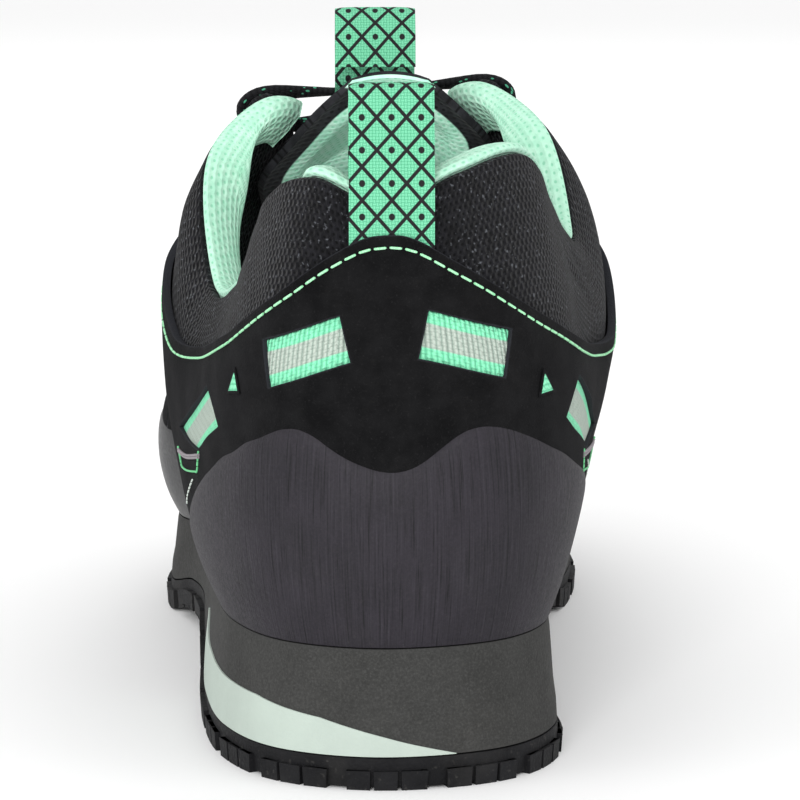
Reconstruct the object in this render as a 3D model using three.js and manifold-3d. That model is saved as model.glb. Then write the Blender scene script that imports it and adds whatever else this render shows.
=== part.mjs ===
// Low-cut approach shoe for the left foot, standing empty on its sole.
// Millimetres. +Y runs from heel to toe, -X is the outer (lateral) side, +Z is up.
import * as THREE from 'three';
import { mergeVertices } from 'three/addons/utils/BufferGeometryUtils.js';
import Module from 'manifold-3d';

const wasm = await Module();
wasm.setup();

// Sole
const soleLength = 268;
const ballWidth = 91;
const heelWidth = 70;
const heelStack = 26.5;
const forefootStack = 19.5;
const toeSpring = 12;
const archRise = 5;
const outsoleThickness = 6;
const lugDepth = 3.2;
const lugLength = 15;
const lugGap = 4;
const lugReach = 10;
const lugProud = 0.5;
const wedgeHeight = 9;
const wedgeDepth = 9;
const wedgeClearance = 0.45;
const soleLedge = 2.2;

// Upper
const collarHeight = 110;
const instepHeight = 120;
const vampHeight = 64;
const upperWall = 2.4;
const suedeThickness = 1.7;
const counterThickness = 2.6;
const counterHeight = 62;
const randThickness = 2.2;
const randHeight = 26;
const suedeHeelHeight = 104.5;
const eyestayWidth = 15;

// Inside, straps, loops and lacing
const insoleThickness = 4;
const padThickness = 7.5;
const padRoll = 2.6;
const liningThickness = 2.2;
const tongueThickness = 5;
const tongueRise = 5;
const tongueWidth = 40;
const tongueDepth = 9;
const tongueLean = 3;
const strapWidth = 9.4;
const strapThickness = 0.8;
const strapRise = 48;
const loopWidth = 16.5;
const loopThickness = 1.3;
const heelLoopHeight = 133.5;
const tongueLoopRise = 14;
const eyeletPairs = 6;
const eyeletBore = 3.8;
const eyeletBarrel = 5;
const eyeletFlange = 8.2;
const flangeHeight = 0.9;
const laceWidth = 5;
const laceThickness = 2.2;

// Clearance between pieces that touch
const gap = 0.3;

const clamp = (value, low, high) => Math.min(high, Math.max(low, value));
const mix = (a, b, share) => a + (b - a) * share;
const smooth = (share) => {
  const inside = clamp(share, 0, 1);
  return inside * inside * (3 - 2 * inside);
};

function table(columns, rows) {
  return rows.map((row) => Object.fromEntries(columns.map((name, index) => [name, row[index]])));
}

// The sole's cross-sections from heel to toe. The half widths are shares of the width of the
// last at that place, which grows from the heel's to the ball's.
const sections = table(
  ['along', 'lateral', 'medial', 'stack', 'arch', 'spring'],
  [
    [0, 0, 0, 1, 0, 0],
    [0.03, 0.29, 0.325, 1, 0, 0],
    [0.105, 0.445, 0.48, 1, 0, 0],
    [0.215, 0.505, 0.468, 0.98, 0, 0],
    [0.335, 0.48, 0.4, 0.93, 0.25, 0],
    [0.42, 0.45, 0.365, 0.85, 0.9, 0],
    [0.495, 0.43, 0.378, 0.65, 1, 0],
    [0.57, 0.446, 0.419, 0.38, 0.75, 0],
    [0.65, 0.5, 0.476, 0.12, 0, 0],
    [0.74, 0.49, 0.505, 0, 0, 0.02],
    [0.83, 0.415, 0.473, -0.12, 0, 0.22],
    [0.915, 0.275, 0.379, -0.25, 0, 0.56],
    [0.975, 0.1, 0.253, -0.35, 0, 0.88],
    [1, -0.088, 0.088, -0.4, 0, 1],
  ],
);

// The upper's free edge for the same sections: collar rim, top eyelet corner, throat edge.
const throatRise = instepHeight - vampHeight;
const rim = table(
  ['latAlong', 'latAcross', 'latUp', 'medAlong', 'medAcross', 'medUp'],
  [
    [0.02, 0, collarHeight, 0.02, 0, collarHeight],
    [0.034, 0.154, 1.043 * collarHeight, 0.034, 0.154, 1.05 * collarHeight],
    [0.1, 0.248, 0.989 * collarHeight, 0.1, 0.299, 1.062 * collarHeight],
    [0.213, 0.314, 0.805 * collarHeight, 0.213, 0.387, 0.912 * collarHeight],
    [0.295, 0.376, 0.773 * collarHeight, 0.295, 0.432, 0.864 * collarHeight],
    [0.373, 0.391, 0.9 * instepHeight, 0.373, 0.385, 0.95 * instepHeight],
    [0.416, 0.236, 0.998 * instepHeight, 0.42, 0.225, 1.02 * instepHeight],
    [0.485, 0.198, vampHeight + 0.75 * throatRise, 0.489, 0.214, vampHeight + 0.786 * throatRise],
    [0.56, 0.187, vampHeight + 0.482 * throatRise, 0.563, 0.225, vampHeight + 0.5 * throatRise],
    [0.634, 0.181, vampHeight + 0.223 * throatRise, 0.638, 0.231, vampHeight + 0.232 * throatRise],
    [0.694, 0.141, vampHeight + 0.062 * throatRise, 0.698, 0.203, vampHeight + 0.068 * throatRise],
    [0.722, 0.066, vampHeight + 0.014 * throatRise, 0.724, 0.137, vampHeight + 0.018 * throatRise],
    [0.729, 0, vampHeight + 0.004 * throatRise, 0.73, 0.077, vampHeight + 0.004 * throatRise],
    [0.731, -0.038, vampHeight, 0.731, 0.038, vampHeight],
  ],
);

// How each section's wall swells between sole and rim: shares of its height and of the ball width.
const belly = table(
  ['rise', 'drop', 'latLow', 'latHigh', 'medLow', 'medHigh'],
  [
    [0.33, 0.3, 0.1, 0.04, 0.1, 0.04],
    [0.33, 0.3, 0.1, 0.055, 0.11, 0.066],
    [0.33, 0.3, 0.1, 0.06, 0.12, 0.075],
    [0.35, 0.3, 0.119, 0.096, 0.19, 0.07],
    [0.36, 0.3, 0.07, 0.155, 0.188, 0.15],
    [0.36, 0.3, 0.045, 0.155, 0.19, 0.23],
    [0.36, 0.3, 0.055, 0.255, 0.17, 0.32],
    [0.36, 0.28, 0.07, 0.25, 0.15, 0.26],
    [0.36, 0.28, 0.15, 0.187, 0.12, 0.22],
    [0.4, 0.22, 0.14, 0.165, 0.1, 0.176],
    [0.5, 0.12, 0.09, 0.22, 0.09, 0.22],
    [0.55, 0.06, 0.055, 0.286, 0.055, 0.286],
    [0.58, 0.04, 0.033, 0.33, 0.033, 0.33],
    [0.58, 0.04, 0.022, 0.352, 0.022, 0.352],
  ],
);

// Top edges of the coverings by section, lateral and medial: shares of their named heights.
const edges = table(
  ['latCounter', 'medCounter', 'rand', 'latSuede', 'medSuede'],
  [
    [1, 1, 0, 1, 1],
    [1.09, 1.1, 0, 0.885, 0.895],
    [0.985, 0.985, 0, 0.785, 0.805],
    [0.7, 0.77, 0, 0.715, 0.73],
    [0.42, 0.46, 0, 0.712, 0.712],
    [0, 0, 0, 0.83, 0.83],
    [0, 0, 0.06, 0.96, 0.96],
    [0, 0, 0.68, 1.2, 1.2],
    [0, 0, 0.94, 1.2, 1.2],
    [0, 0, 1, 1.2, 1.2],
    [0, 0, 1, 1.2, 1.2],
    [0, 0, 0.98, 1.2, 1.2],
    [0, 0, 0.96, 1.2, 1.2],
    [0, 0, 0.95, 1.2, 1.2],
  ],
);

// The strap's centre line by section, as a share of its height at the heel, over the counter.
const strapHeight = counterHeight + strapRise;
const strapLine = table(
  ['latStrap', 'medStrap'],
  [
    [0.79, 0.79],
    [0.736, 0.75],
    [0.66, 0.675],
    [0.53, 0.545],
    [0.44, 0.455],
  ],
);

const toeRow = sections.length - 1;
const stations = 2 * toeRow;
const topCorner = 6;
const throatEnd = 10;

const localWidth = (along) => mix(heelWidth, ballWidth, smooth((along - 0.2) / 0.4));

// A closed loop of values, heel, lateral side, toe, medial side, one for each station.
function aroundLoop(value) {
  return Array.from({ length: stations }, (_, index) => {
    const medial = index > toeRow;
    return value(medial ? stations - index : index, medial);
  });
}

function cyclic(values, station) {
  const count = values.length;
  const index = Math.floor(station);
  const f = station - index;
  const at = (offset) => values[(((index + offset) % count) + count) % count];
  const [a, b, c, d] = [at(-1), at(0), at(1), at(2)];
  return b + 0.5 * f * (c - a + f * (2 * a - 5 * b + 4 * c - d + f * (3 * (b - c) + d - a)));
}

// A smooth curve through the table's rows, by length, that never overshoots a row.
function byLength(column) {
  const x = sections.map((row) => row.along);
  const y = sections.map((row) => row[column]);
  const slope = y.slice(1).map((value, i) => (value - y[i]) / (x[i + 1] - x[i]));
  const tangent = y.map((_, i) => {
    const before = slope[Math.max(0, i - 1)];
    const after = slope[Math.min(slope.length - 1, i)];
    return before * after <= 0 ? 0 : (2 * before * after) / (before + after);
  });
  return (along) => {
    const place = clamp(along, 0, 1);
    const i = clamp(x.findIndex((value) => value > place) - 1, 0, x.length - 2);
    const row = place >= 1 ? x.length - 2 : i;
    const width = x[row + 1] - x[row];
    const f = (place - x[row]) / width;
    const [f2, f3] = [f * f, f * f * f];
    return (2 * f3 - 3 * f2 + 1) * y[row] + (f3 - 2 * f2 + f) * width * tangent[row]
      + (3 * f2 - 2 * f3) * y[row + 1] + (f3 - f2) * width * tangent[row + 1];
  };
}

const stackShare = byLength('stack');
const archShare = byLength('arch');
const springShare = byLength('spring');
const ground = (y) => springShare(y / soleLength) * toeSpring;
const treadUnder = (y) => ground(y) + archShare(y / soleLength) * archRise;
const treadTop = (y) => treadUnder(y) + outsoleThickness;
const soleTop = (y) => ground(y) + mix(forefootStack, heelStack, stackShare(y / soleLength));

const outlineX = aroundLoop((row, medial) => {
  const { along, lateral, medial: inner } = sections[row];
  return (medial ? inner : -lateral) * localWidth(along);
});
const outlineY = aroundLoop((row) => sections[row].along * soleLength);

const outline = (s) => new THREE.Vector2(cyclic(outlineX, s), cyclic(outlineY, s));

function outward(s) {
  const step = 0.02;
  const along = outline(s + step).sub(outline(s - step)).normalize();
  return new THREE.Vector2(-along.y, along.x);
}

const outlineIn = (s, inset) => outline(s).addScaledVector(outward(s), -inset);

// The upper's surface: station s round the shoe, t from the sole (0) to the free edge (1).
const featherInset = soleLedge + counterThickness;
const rimX = aroundLoop((row, medial) => {
  const { latAcross, medAcross } = rim[row];
  return (medial ? medAcross : -latAcross) * ballWidth;
});
const rimY = aroundLoop((row, medial) => (medial ? rim[row].medAlong : rim[row].latAlong) * soleLength);
const rimZ = aroundLoop((row, medial) => (medial ? rim[row].medUp : rim[row].latUp));
const riseShare = aroundLoop((row) => belly[row].rise);
const dropShare = aroundLoop((row) => belly[row].drop);
const lowOut = aroundLoop((row, medial) => (medial ? belly[row].medLow : belly[row].latLow) * ballWidth);
const highOut = aroundLoop((row, medial) => (medial ? belly[row].medHigh : belly[row].latHigh) * ballWidth);

function profile(s) {
  const foot = outlineIn(s, featherInset);
  const out = outward(s);
  const start = new THREE.Vector3(foot.x, foot.y, soleTop(foot.y) + gap);
  const end = new THREE.Vector3(cyclic(rimX, s), cyclic(rimY, s), cyclic(rimZ, s));
  const height = end.z - start.z;
  const side = new THREE.Vector3(out.x, out.y, 0);
  const low = start.clone().addScaledVector(side, cyclic(lowOut, s));
  low.z += cyclic(riseShare, s) * height;
  const high = end.clone().addScaledVector(side, cyclic(highOut, s));
  high.z -= cyclic(dropShare, s) * height;
  return new THREE.CubicBezierCurve3(start, low, high, end);
}

const surface = (s, t) => profile(s).getPoint(t);

// Outward direction on the surface, level at the sole so that all layers end on one plane.
function facing(s, t) {
  const step = 0.01;
  const here = clamp(t, step, 1 - step);
  const up = surface(s, here + step).sub(surface(s, here - step));
  const round = surface(s + step, here).sub(surface(s - step, here));
  const normal = up.cross(round).normalize();
  normal.z *= smooth(t / 0.12);
  return normal.normalize();
}

// A point at a distance from the surface. Near the sole it follows the height of the sole's top.
function layer(s, t, offset) {
  const base = surface(s, t);
  const point = base.clone().addScaledVector(facing(s, t), offset);
  point.z += (soleTop(point.y) - soleTop(base.y)) * (1 - smooth(t / 0.3));
  return point;
}

// The share t at which the wall at station s reaches a height.
function shareAtHeight(s, height) {
  const curve = profile(s);
  let [low, high] = [0, 1];
  for (let turn = 0; turn < 24; turn += 1) {
    const middle = (low + high) / 2;
    if (curve.getPoint(middle).z < height) low = middle;
    else high = middle;
  }
  return low;
}

// The share t that lies a distance down the wall from the free edge.
function shareBelowEdge(s, distance) {
  const curve = profile(s);
  const steps = 60;
  let left = distance;
  let last = curve.getPoint(1);
  for (let i = steps - 1; i >= 0; i -= 1) {
    const point = curve.getPoint(i / steps);
    const run = point.distanceTo(last);
    if (run >= left) return (i + 1 - left / run) / steps;
    left -= run;
    last = point;
  }
  return 0;
}

// Closed solids from rings of points. A ring that is a strip pairs its first point with its
// last, and a ring that is an outline has a tip at its first and middle points. A strip's two
// faces are split along the same diagonals, so that layers stay parallel.
function capFaces(start, count, tips) {
  const faces = [];
  const at = (index) => start + (index % count);
  for (let i = 0; i < count / 2; i += 1) {
    const [a, b] = tips ? [i, count - i] : [i, count - 1 - i];
    const [c, d] = [b - 1, i + 1];
    faces.push([at(a), at(b), at(c)], [at(a), at(c), at(d)]);
  }
  return faces.filter((face) => new Set(face).size === 3);
}

function loft(rings, { closed = false, tips = false } = {}) {
  const count = rings[0].length;
  const faces = [];
  const spans = closed ? rings.length : rings.length - 1;
  for (let r = 0; r < spans; r += 1) {
    const next = (r + 1) % rings.length;
    for (let i = 0; i < count; i += 1) {
      const j = (i + 1) % count;
      const [a, b, c, d] = [r * count + i, r * count + j, next * count + j, next * count + i];
      const returning = !tips && i >= count / 2;
      faces.push(...(returning ? [[a, b, d], [b, c, d]] : [[a, b, c], [a, c, d]]));
    }
  }
  if (!closed) {
    capFaces(0, count, tips).forEach(([a, b, c]) => faces.push([c, b, a].reverse()));
    capFaces((rings.length - 1) * count, count, tips).forEach(([a, b, c]) => faces.push([c, b, a]));
  }
  return solidFrom(rings.flat(), faces);
}

function solidFrom(points, faces) {
  const vertProperties = new Float32Array(points.flatMap((point) => [point.x, point.y, point.z]));
  let volume = 0;
  faces.forEach(([a, b, c]) => {
    volume += points[a].dot(points[b].clone().cross(points[c]));
  });
  const outside = volume < 0 ? faces.map((face) => [...face].reverse()) : faces;
  const mesh = new wasm.Mesh({ numProp: 3, vertProperties, triVerts: new Uint32Array(outside.flat()) });
  mesh.merge();
  return new wasm.Manifold(mesh);
}

function fromGeometry(geometry) {
  geometry.deleteAttribute('normal');
  geometry.deleteAttribute('uv');
  const merged = mergeVertices(geometry, 1e-4);
  return new wasm.Manifold(new wasm.Mesh({
    numProp: 3,
    vertProperties: new Float32Array(merged.attributes.position.array),
    triVerts: new Uint32Array(merged.index.array),
  }));
}

const group = new THREE.Group();

function addPiece(name, solid, color, roughness, metalness = 0) {
  const mesh = solid.getMesh();
  const geometry = new THREE.BufferGeometry();
  geometry.setAttribute('position', new THREE.BufferAttribute(new Float32Array(mesh.vertProperties), 3));
  geometry.setIndex(new THREE.BufferAttribute(new Uint32Array(mesh.triVerts), 1));
  geometry.computeVertexNormals();
  const material = new THREE.MeshStandardMaterial({ color, roughness, metalness });
  const piece = new THREE.Mesh(geometry, material);
  piece.name = name;
  group.add(piece);
}

// Stations are shared by every layer, so that their facets lie parallel. They stand closer
// round the heel, the top eyelet's corner and the toe.
const sideColumns = [0, 0.5, 1, 1.5, 2, 2.5, 3, 4, 5, 5.5, 6, 7, 8, 9, 10, 11, 11.5, 12, 12.5];
const columnStations = [
  ...sideColumns, stations / 2, ...sideColumns.slice(1).reverse().map((s) => stations - s),
];
const columnLimits = [...columnStations, stations];
const wallShares = [0, 0.11, 0.28, 0.48, 0.68, 0.86, 1];

// A shell between two distances from the upper's surface, all the way round.
function shell(inner, outer) {
  const rings = columnStations.map((s) => {
    const outside = wallShares.map((t) => layer(s, t, outer));
    const inside = wallShares.map((t) => layer(s, t, inner));
    return [...outside, ...inside.reverse()];
  });
  return loft(rings, { closed: true });
}

// A cutter through the layers: stations from and to, between two curves t(s).
const cutDepth = 1;
const cutHeight = 5;
function between(from, to) {
  const middles = columnLimits.slice(1).map((s, index) => (s + columnLimits[index]) / 2);
  const turns = [...middles.map((s) => s - stations), ...middles];
  const spare = 0.08;
  return [from, ...turns.filter((s) => s > from + spare && s < to - spare), to];
}

function cutter(from, to, low, high, { inner = -cutDepth, outer = cutHeight, rows = 5 } = {}) {
  const rings = between(from, to).map((s) => {
    const shares = Array.from({ length: rows }, (__, row) => mix(low(s), high(s), row / (rows - 1)));
    const outside = shares.map((t) => layer(s, t, outer));
    const inside = shares.map((t) => layer(s, t, inner));
    return [...outside, ...inside.reverse()];
  });
  return loft(rings);
}

const column = (lateral, medial = lateral, source = edges) => {
  const values = aroundLoop((row, inner) => (source[row] ?? source.at(-1))[inner ? medial : lateral]);
  return (s) => cyclic(values, s);
};

// Sole
const sideLevels = (low, high, insets) => insets.map(([share, inset]) => columnStations.map((s) => {
  const place = outlineIn(s, inset);
  return new THREE.Vector3(place.x, place.y, mix(low(place.y), high(place.y), share));
}));

function arcTable() {
  const steps = 520;
  const lengths = [0];
  for (let i = 1; i <= steps; i += 1) {
    const run = outline((i * stations) / steps).distanceTo(outline(((i - 1) * stations) / steps));
    lengths.push(lengths[i - 1] + run);
  }
  const total = lengths[steps];
  const stationAt = (distance) => {
    const wanted = ((distance % total) + total) % total;
    const i = lengths.findIndex((value) => value > wanted) - 1;
    return ((i + (wanted - lengths[i]) / (lengths[i + 1] - lengths[i])) * stations) / steps;
  };
  return { total, stationAt };
}

const slabFloor = (y) => treadUnder(y) + lugDepth;
const lugRoot = 0.5;

// A lug from four corners of its plan. Its foot is level where the tread meets the floor.
const settled = 0.4;
function lug(corners, top) {
  const foot = corners.map(([x, y]) => new THREE.Vector3(x, y, Math.max(0, treadUnder(y) - settled)));
  const head = corners.map(([x, y]) => new THREE.Vector3(x, y, top(y)));
  return loft([foot, head]);
}

function makeOutsole() {
  let solid = loft(sideLevels(slabFloor, treadTop, [[0, 1.2], [1, 0.4]]), { tips: true });
  const { total, stationAt } = arcTable();
  const count = Math.round(total / (lugLength + lugGap));
  for (let i = 0; i < count; i += 1) {
    const from = stationAt(((i - 0.5) * total) / count + lugGap / 2);
    const to = stationAt(((i + 0.5) * total) / count - lugGap / 2);
    const corners = [
      outlineIn(from, -lugProud), outlineIn(to, -lugProud),
      outlineIn(to, lugReach), outlineIn(from, lugReach),
    ].map((point) => [point.x, point.y]);
    solid = solid.add(lug(corners, (y) => slabFloor(y) + lugRoot));
  }
  const rows = table(
    ['along', 'centre', 'spread'],
    [
      [0.1, 0, 0.1], [0.165, 0, 0.11], [0.23, 0, 0.1],
      [0.6, 0, 0.13], [0.665, 0, 0.14], [0.73, 0.01, 0.14],
      [0.8, 0.03, 0.13], [0.865, 0.05, 0.1],
    ],
  );
  const half = lugLength / 2;
  rows.forEach(({ along, centre, spread }) => {
    [-1, 1].forEach((side) => {
      const x = (centre + side * spread) * ballWidth;
      const y = along * soleLength;
      const wide = half * 1.1;
      const corners = [[x - wide, y - half], [x + wide, y - half], [x + wide, y + half], [x - wide, y + half]]
        .map(([px, py]) => [px, py - Math.abs(px - x) * 0.25]);
      solid = solid.add(lug(corners, (py) => slabFloor(py) + lugRoot));
    });
  });
  return solid;
}

const midsoleSide = [[0, 0.5], [0.4, 1.3], [1, soleLedge]];
const midsoleFloor = (y) => treadTop(y) + gap;
const midsoleInset = (share) => {
  const next = midsoleSide.findIndex(([level]) => level >= share);
  if (next <= 0) return midsoleSide[0][1];
  const [[l0, i0], [l1, i1]] = [midsoleSide[next - 1], midsoleSide[next]];
  return mix(i0, i1, (share - l0) / (l1 - l0));
};

// The wedge's height by station, from its front tip on the lateral side round to its end.
const wedgeFront = 3.6;
const wedgeEnd = -0.55;
const wedgeLean = 0.4;
const wedgeShare = table(
  ['station', 'height'],
  [[-0.55, 0.12], [0, 0.42], [0.6, 0.76], [1.4, 0.98], [2.4, 1], [4, 1]],
);
function wedgeTop(station) {
  const next = clamp(wedgeShare.findIndex((row) => row.station >= station), 1, wedgeShare.length - 1);
  const [a, b] = [wedgeShare[next - 1], wedgeShare[next]];
  return wedgeHeight * mix(a.height, b.height, (station - a.station) / (b.station - a.station));
}

function wedgeBand(clear, outside) {
  const count = 16;
  const places = Array.from({ length: count + 1 }, (_, index) => mix(wedgeEnd, wedgeFront, index / count));
  const ends = clear > 0 ? [wedgeEnd - clear * 0.05, ...places, wedgeFront + clear * 0.1] : places;
  const rings = ends.map((s) => {
    const height = wedgeTop(clamp(s, wedgeEnd, wedgeFront)) + clear;
    const lean = (share) => wedgeLean * share * smooth((s - wedgeFront + 1) / 1);
    const corner = (share, inset) => {
      const place = outlineIn(s + lean(share), inset);
      const low = midsoleFloor(place.y) - clear;
      return new THREE.Vector3(place.x, place.y, low + share * (height + clear));
    };
    const depth = wedgeDepth + clear;
    return [corner(0, outside(0)), corner(0.5, outside(0.2)), corner(1, outside(0.42)),
      corner(1, depth), corner(0.5, depth), corner(0, depth)];
  });
  return loft(rings);
}

// Top of a covering, as a share t of the wall.
const counterShares = column('latCounter', 'medCounter');
const randShares = column('rand');
const suedeShares = column('latSuede', 'medSuede');
const footOf = (s) => outlineIn(s, featherInset);
const counterTop = (s) => shareAtHeight(s, counterShares(s) * counterHeight);
const randTop = (s) => shareAtHeight(s, soleTop(footOf(s).y) + randShares(s) * randHeight);
const suedeTop = (s) => shareAtHeight(s, suedeShares(s) * suedeHeelHeight);
const eyestayLow = (s) => shareBelowEdge(s, eyestayWidth);

const counterReach = 4.6;
const randStart = 6.1;
const vampStart = 7.7;
const eyestayStart = 5.75;
const seamStep = 0.008;
const edgeStep = 0.006;
const whole = -0.05;
const beyond = 1.05;

const sunk = () => whole;
const counterRegion = (clear) => cutter(-counterReach - clear * seamStep, counterReach + clear * seamStep,
  sunk, (s) => Math.max(0.02, counterTop(s)) + clear * edgeStep);
const randRegion = (clear) => cutter(randStart - clear * seamStep, stations - randStart + clear * seamStep,
  sunk, (s) => Math.max(0.02, randTop(s)) + clear * edgeStep);
const eyestayRegion = (clear) => cutter(eyestayStart - clear * seamStep,
  stations - eyestayStart + clear * seamStep, (s) => eyestayLow(s) - clear * edgeStep, () => beyond);

// Straps threaded through the suede, shown in two windows a side.
const windows = [[0.4, 1.22], [2.5, 3.12]];
const strapEnds = [0.2, 3.7];
const strapHeights = column('latStrap', 'medStrap', strapLine);
function strapEdges(s, clear) {
  const middle = strapHeights(s) * strapHeight;
  const steep = 1 + 0.22 * smooth(Math.abs(s > stations / 2 ? stations - s : s) - 1);
  const half = (strapWidth / 2) * steep + clear;
  return [shareAtHeight(s, middle - half), shareAtHeight(s, middle + half)];
}

function strapRegion(side, from, to, clear, inner, outer) {
  const reach = clear * 0.05;
  const [a, b] = side < 0 ? [from - reach, to + reach] : [stations - to - reach, stations - from + reach];
  const [low, high] = [(s) => strapEdges(s, clear)[0], (s) => strapEdges(s, clear)[1]];
  return cutter(a, b, low, high, { inner, outer, rows: 2 });
}

const strapTop = gap + strapThickness;
function makeStrap(side) {
  return shell(gap, strapTop).intersect(strapRegion(side, ...strapEnds, 0));
}

// The largest body of a cut, without the crumbs that a cut can leave.
function mainBody(solid) {
  return solid.decompose().reduce((best, body) => (body.volume() > best.volume() ? body : best));
}

const suedeShell = shell(gap, gap + suedeThickness);
const strapPocket = shell(0, strapTop + gap);
function makeSuede() {
  let solid = suedeShell.subtract(counterRegion(gap)).subtract(randRegion(gap)).subtract(eyestayRegion(gap));
  [-1, 1].forEach((side) => {
    solid = solid.subtract(strapPocket.intersect(strapRegion(side, ...strapEnds, gap)));
    windows.forEach(([from, to]) => {
      solid = solid.subtract(strapRegion(side, from, to, 0));
    });
  });
  return solid;
}

const suede = makeSuede();
const quarterTop = (s) => (suedeTop(s) > 0.99 ? beyond : suedeTop(s));
const quarterRegion = cutter(-vampStart, vampStart, sunk, quarterTop);
const vampRegion = cutter(vampStart + gap * 0.05, stations - vampStart - gap * 0.05, sunk, () => beyond);

// Eyelets stand in the eyestay, in pairs down the throat.
const eyeletInset = eyestayWidth / 2;
const eyeletStation = (index) => mix(topCorner + 0.35, throatEnd - 0.1, index / (eyeletPairs - 1));
const eyelets = [];
for (let index = 0; index < eyeletPairs; index += 1) {
  [['lateral', eyeletStation(index)], ['medial', stations - eyeletStation(index)]].forEach(([side, s]) => {
    const t = shareBelowEdge(s, eyeletInset);
    eyelets.push({ side, index, place: surface(s, t), normal: facing(s, t) });
  });
}

function placed(geometry, place, normal) {
  const turn = new THREE.Quaternion().setFromUnitVectors(new THREE.Vector3(0, 1, 0), normal);
  geometry.applyQuaternion(turn);
  geometry.translate(place.x, place.y, place.z);
  return fromGeometry(geometry);
}

const coverTop = gap + suedeThickness;
const flangeFoot = coverTop + 3 * gap;
const ringSides = 6;
const holeSides = 5;
function eyeletRing({ place, normal }) {
  const flangeTop = flangeFoot + flangeHeight;
  const profilePoints = [
    [eyeletBore / 2, 0], [eyeletBarrel / 2, 0],
    [eyeletBarrel / 2, flangeFoot], [eyeletFlange / 2, flangeFoot],
    [eyeletBarrel / 2, flangeTop], [eyeletBore / 2, 0],
  ].map(([x, y]) => new THREE.Vector2(x, y));
  return placed(new THREE.LatheGeometry(profilePoints, ringSides), place, normal);
}

function eyeletHoles() {
  const depth = 4 * (upperWall + suedeThickness);
  const radius = (eyeletBarrel / 2 + gap) / Math.cos(Math.PI / holeSides);
  return eyelets
    .map(({ place, normal }) => {
      const pin = new THREE.CylinderGeometry(radius, radius, depth, holeSides);
      return placed(pin, place, normal);
    })
    .reduce((all, hole) => all.add(hole));
}

// Padded collar: thick at the rim, thin lower down, rolled over the wall's edge.
const liningReach = 5.5;
const rollReach = 5.4;
const rimClearance = 1.6 * gap;
const liningLow = wallShares[3];
function liningRing(s) {
  const shares = wallShares.filter((t) => t >= liningLow);
  const ends = smooth((liningReach - Math.abs(s)) / 0.9);
  const full = mix(padThickness * 0.5, padThickness, ends);
  const pad = (t) => mix(liningThickness, full, smooth((t - liningLow) / 0.3));
  const against = -(upperWall + gap);
  const outer = shares.map((t) => layer(s, t, against));
  const inner = shares.map((t) => layer(s, t, against - pad(t)));
  const edge = surface(s, 1);
  const out = facing(s, 1);
  const up = edge.clone().sub(surface(s, 0.97)).normalize();
  const overEdge = (across, rise) => edge.clone().addScaledVector(out, across).addScaledVector(up, rise);
  const top = inner.pop();
  outer[outer.length - 1] = overEdge(against, rimClearance);
  const over = smooth((rollReach - Math.abs(s)) / 0.9);
  const roll = [
    [0, against - 0.1, rimClearance], [-0.2, against - 0.4, padRoll * 0.7],
    [-upperWall, against - 1, padRoll], [against - pad(1) * 0.55, against - pad(1) * 0.55, padRoll * 0.9],
  ].map(([open, ended, rise]) => overEdge(mix(ended, open, over), rise));
  return [...outer, ...roll, top.addScaledVector(up, 0.3), ...inner.reverse()];
}

function makeLining() {
  const side = sideColumns.filter((s) => s < liningReach);
  const places = [...side.slice(1).reverse().map((s) => -s), ...side];
  return loft([-liningReach, ...places, liningReach].map(liningRing));
}

// Insole, inside the wall's foot.
function makeInsole() {
  const inset = featherInset + upperWall + 2 * gap;
  const floor = (y) => soleTop(y) + gap;
  return loft(sideLevels(floor, (y) => floor(y) + insoleThickness, [[0, inset], [1, inset]]), { tips: true });
}

// Tongue: rows of points from side to side, under the throat's edges and free at the top.
const tongueOff = upperWall + 3 * gap;
function tongueSide(s) {
  const [low, high] = wallShares.slice(-2).map((t) => layer(s, t, -tongueOff));
  return [low, low.clone().lerp(high, 0.5), high];
}

function tongueRow(s) {
  const left = tongueSide(s);
  const right = tongueSide(stations - s).reverse();
  const crown = left[2].clone().add(right[0]).multiplyScalar(0.5);
  crown.z += tongueOff * 0.5;
  return [...left, crown, ...right];
}

function tongueTopRow({ share, halfWidth, sag, drop }) {
  const left = surface(topCorner, 1);
  const right = surface(stations - topCorner, 1);
  const base = left.clone().add(right).multiplyScalar(0.5);
  base.x += tongueLean * smooth(share + 1.2);
  return [-1, -0.7, -0.36, 0, 0.36, 0.7, 1].map((across) => new THREE.Vector3(
    base.x + across * halfWidth * tongueWidth,
    base.y - share * tongueDepth - Math.abs(across) ** 2 * sag * tongueWidth * 0.6,
    base.z + share * tongueRise - (drop + Math.abs(across) ** 2 * sag) * tongueWidth,
  ));
}

// The free top of the tongue by rows, from its crest down: shares of its rise, then of its width.
const tongueTop = table(['share', 'halfWidth', 'sag', 'drop'], [
  [1, 0.2, 0.0375, 0],
  [0.65, 0.375, 0.15, 0],
  [-0.2, 0.525, 0.225, 0],
  [-1.2, 0.6, 0.275, 0.0375],
]);
const tongueFront = 1;
const tongueReach = 14;
function tongueRows() {
  const free = tongueTop.map(tongueTopRow);
  const under = [7, 8, 9].map(tongueRow);
  const [back, front] = [throatEnd, stations - throatEnd];
  const low = wallShares.at(-2);
  const round = [-1.5, 0, 1.5].map((step) => [toeRow + step, 1]);
  const places = [[back, low], [back, 1], ...round, [front, 1], [front, low]];
  const throatFoot = places.map(([s, t]) => layer(s, t, -tongueOff - gap));
  const vampEnd = [-3, -2, -1, 0, 1, 2, 3].map((step) => toeRow + step)
    .map((s) => layer(s, shareBelowEdge(s, tongueReach), -tongueOff - tongueFront));
  return [...free, ...under, throatFoot, vampEnd];
}

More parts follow.
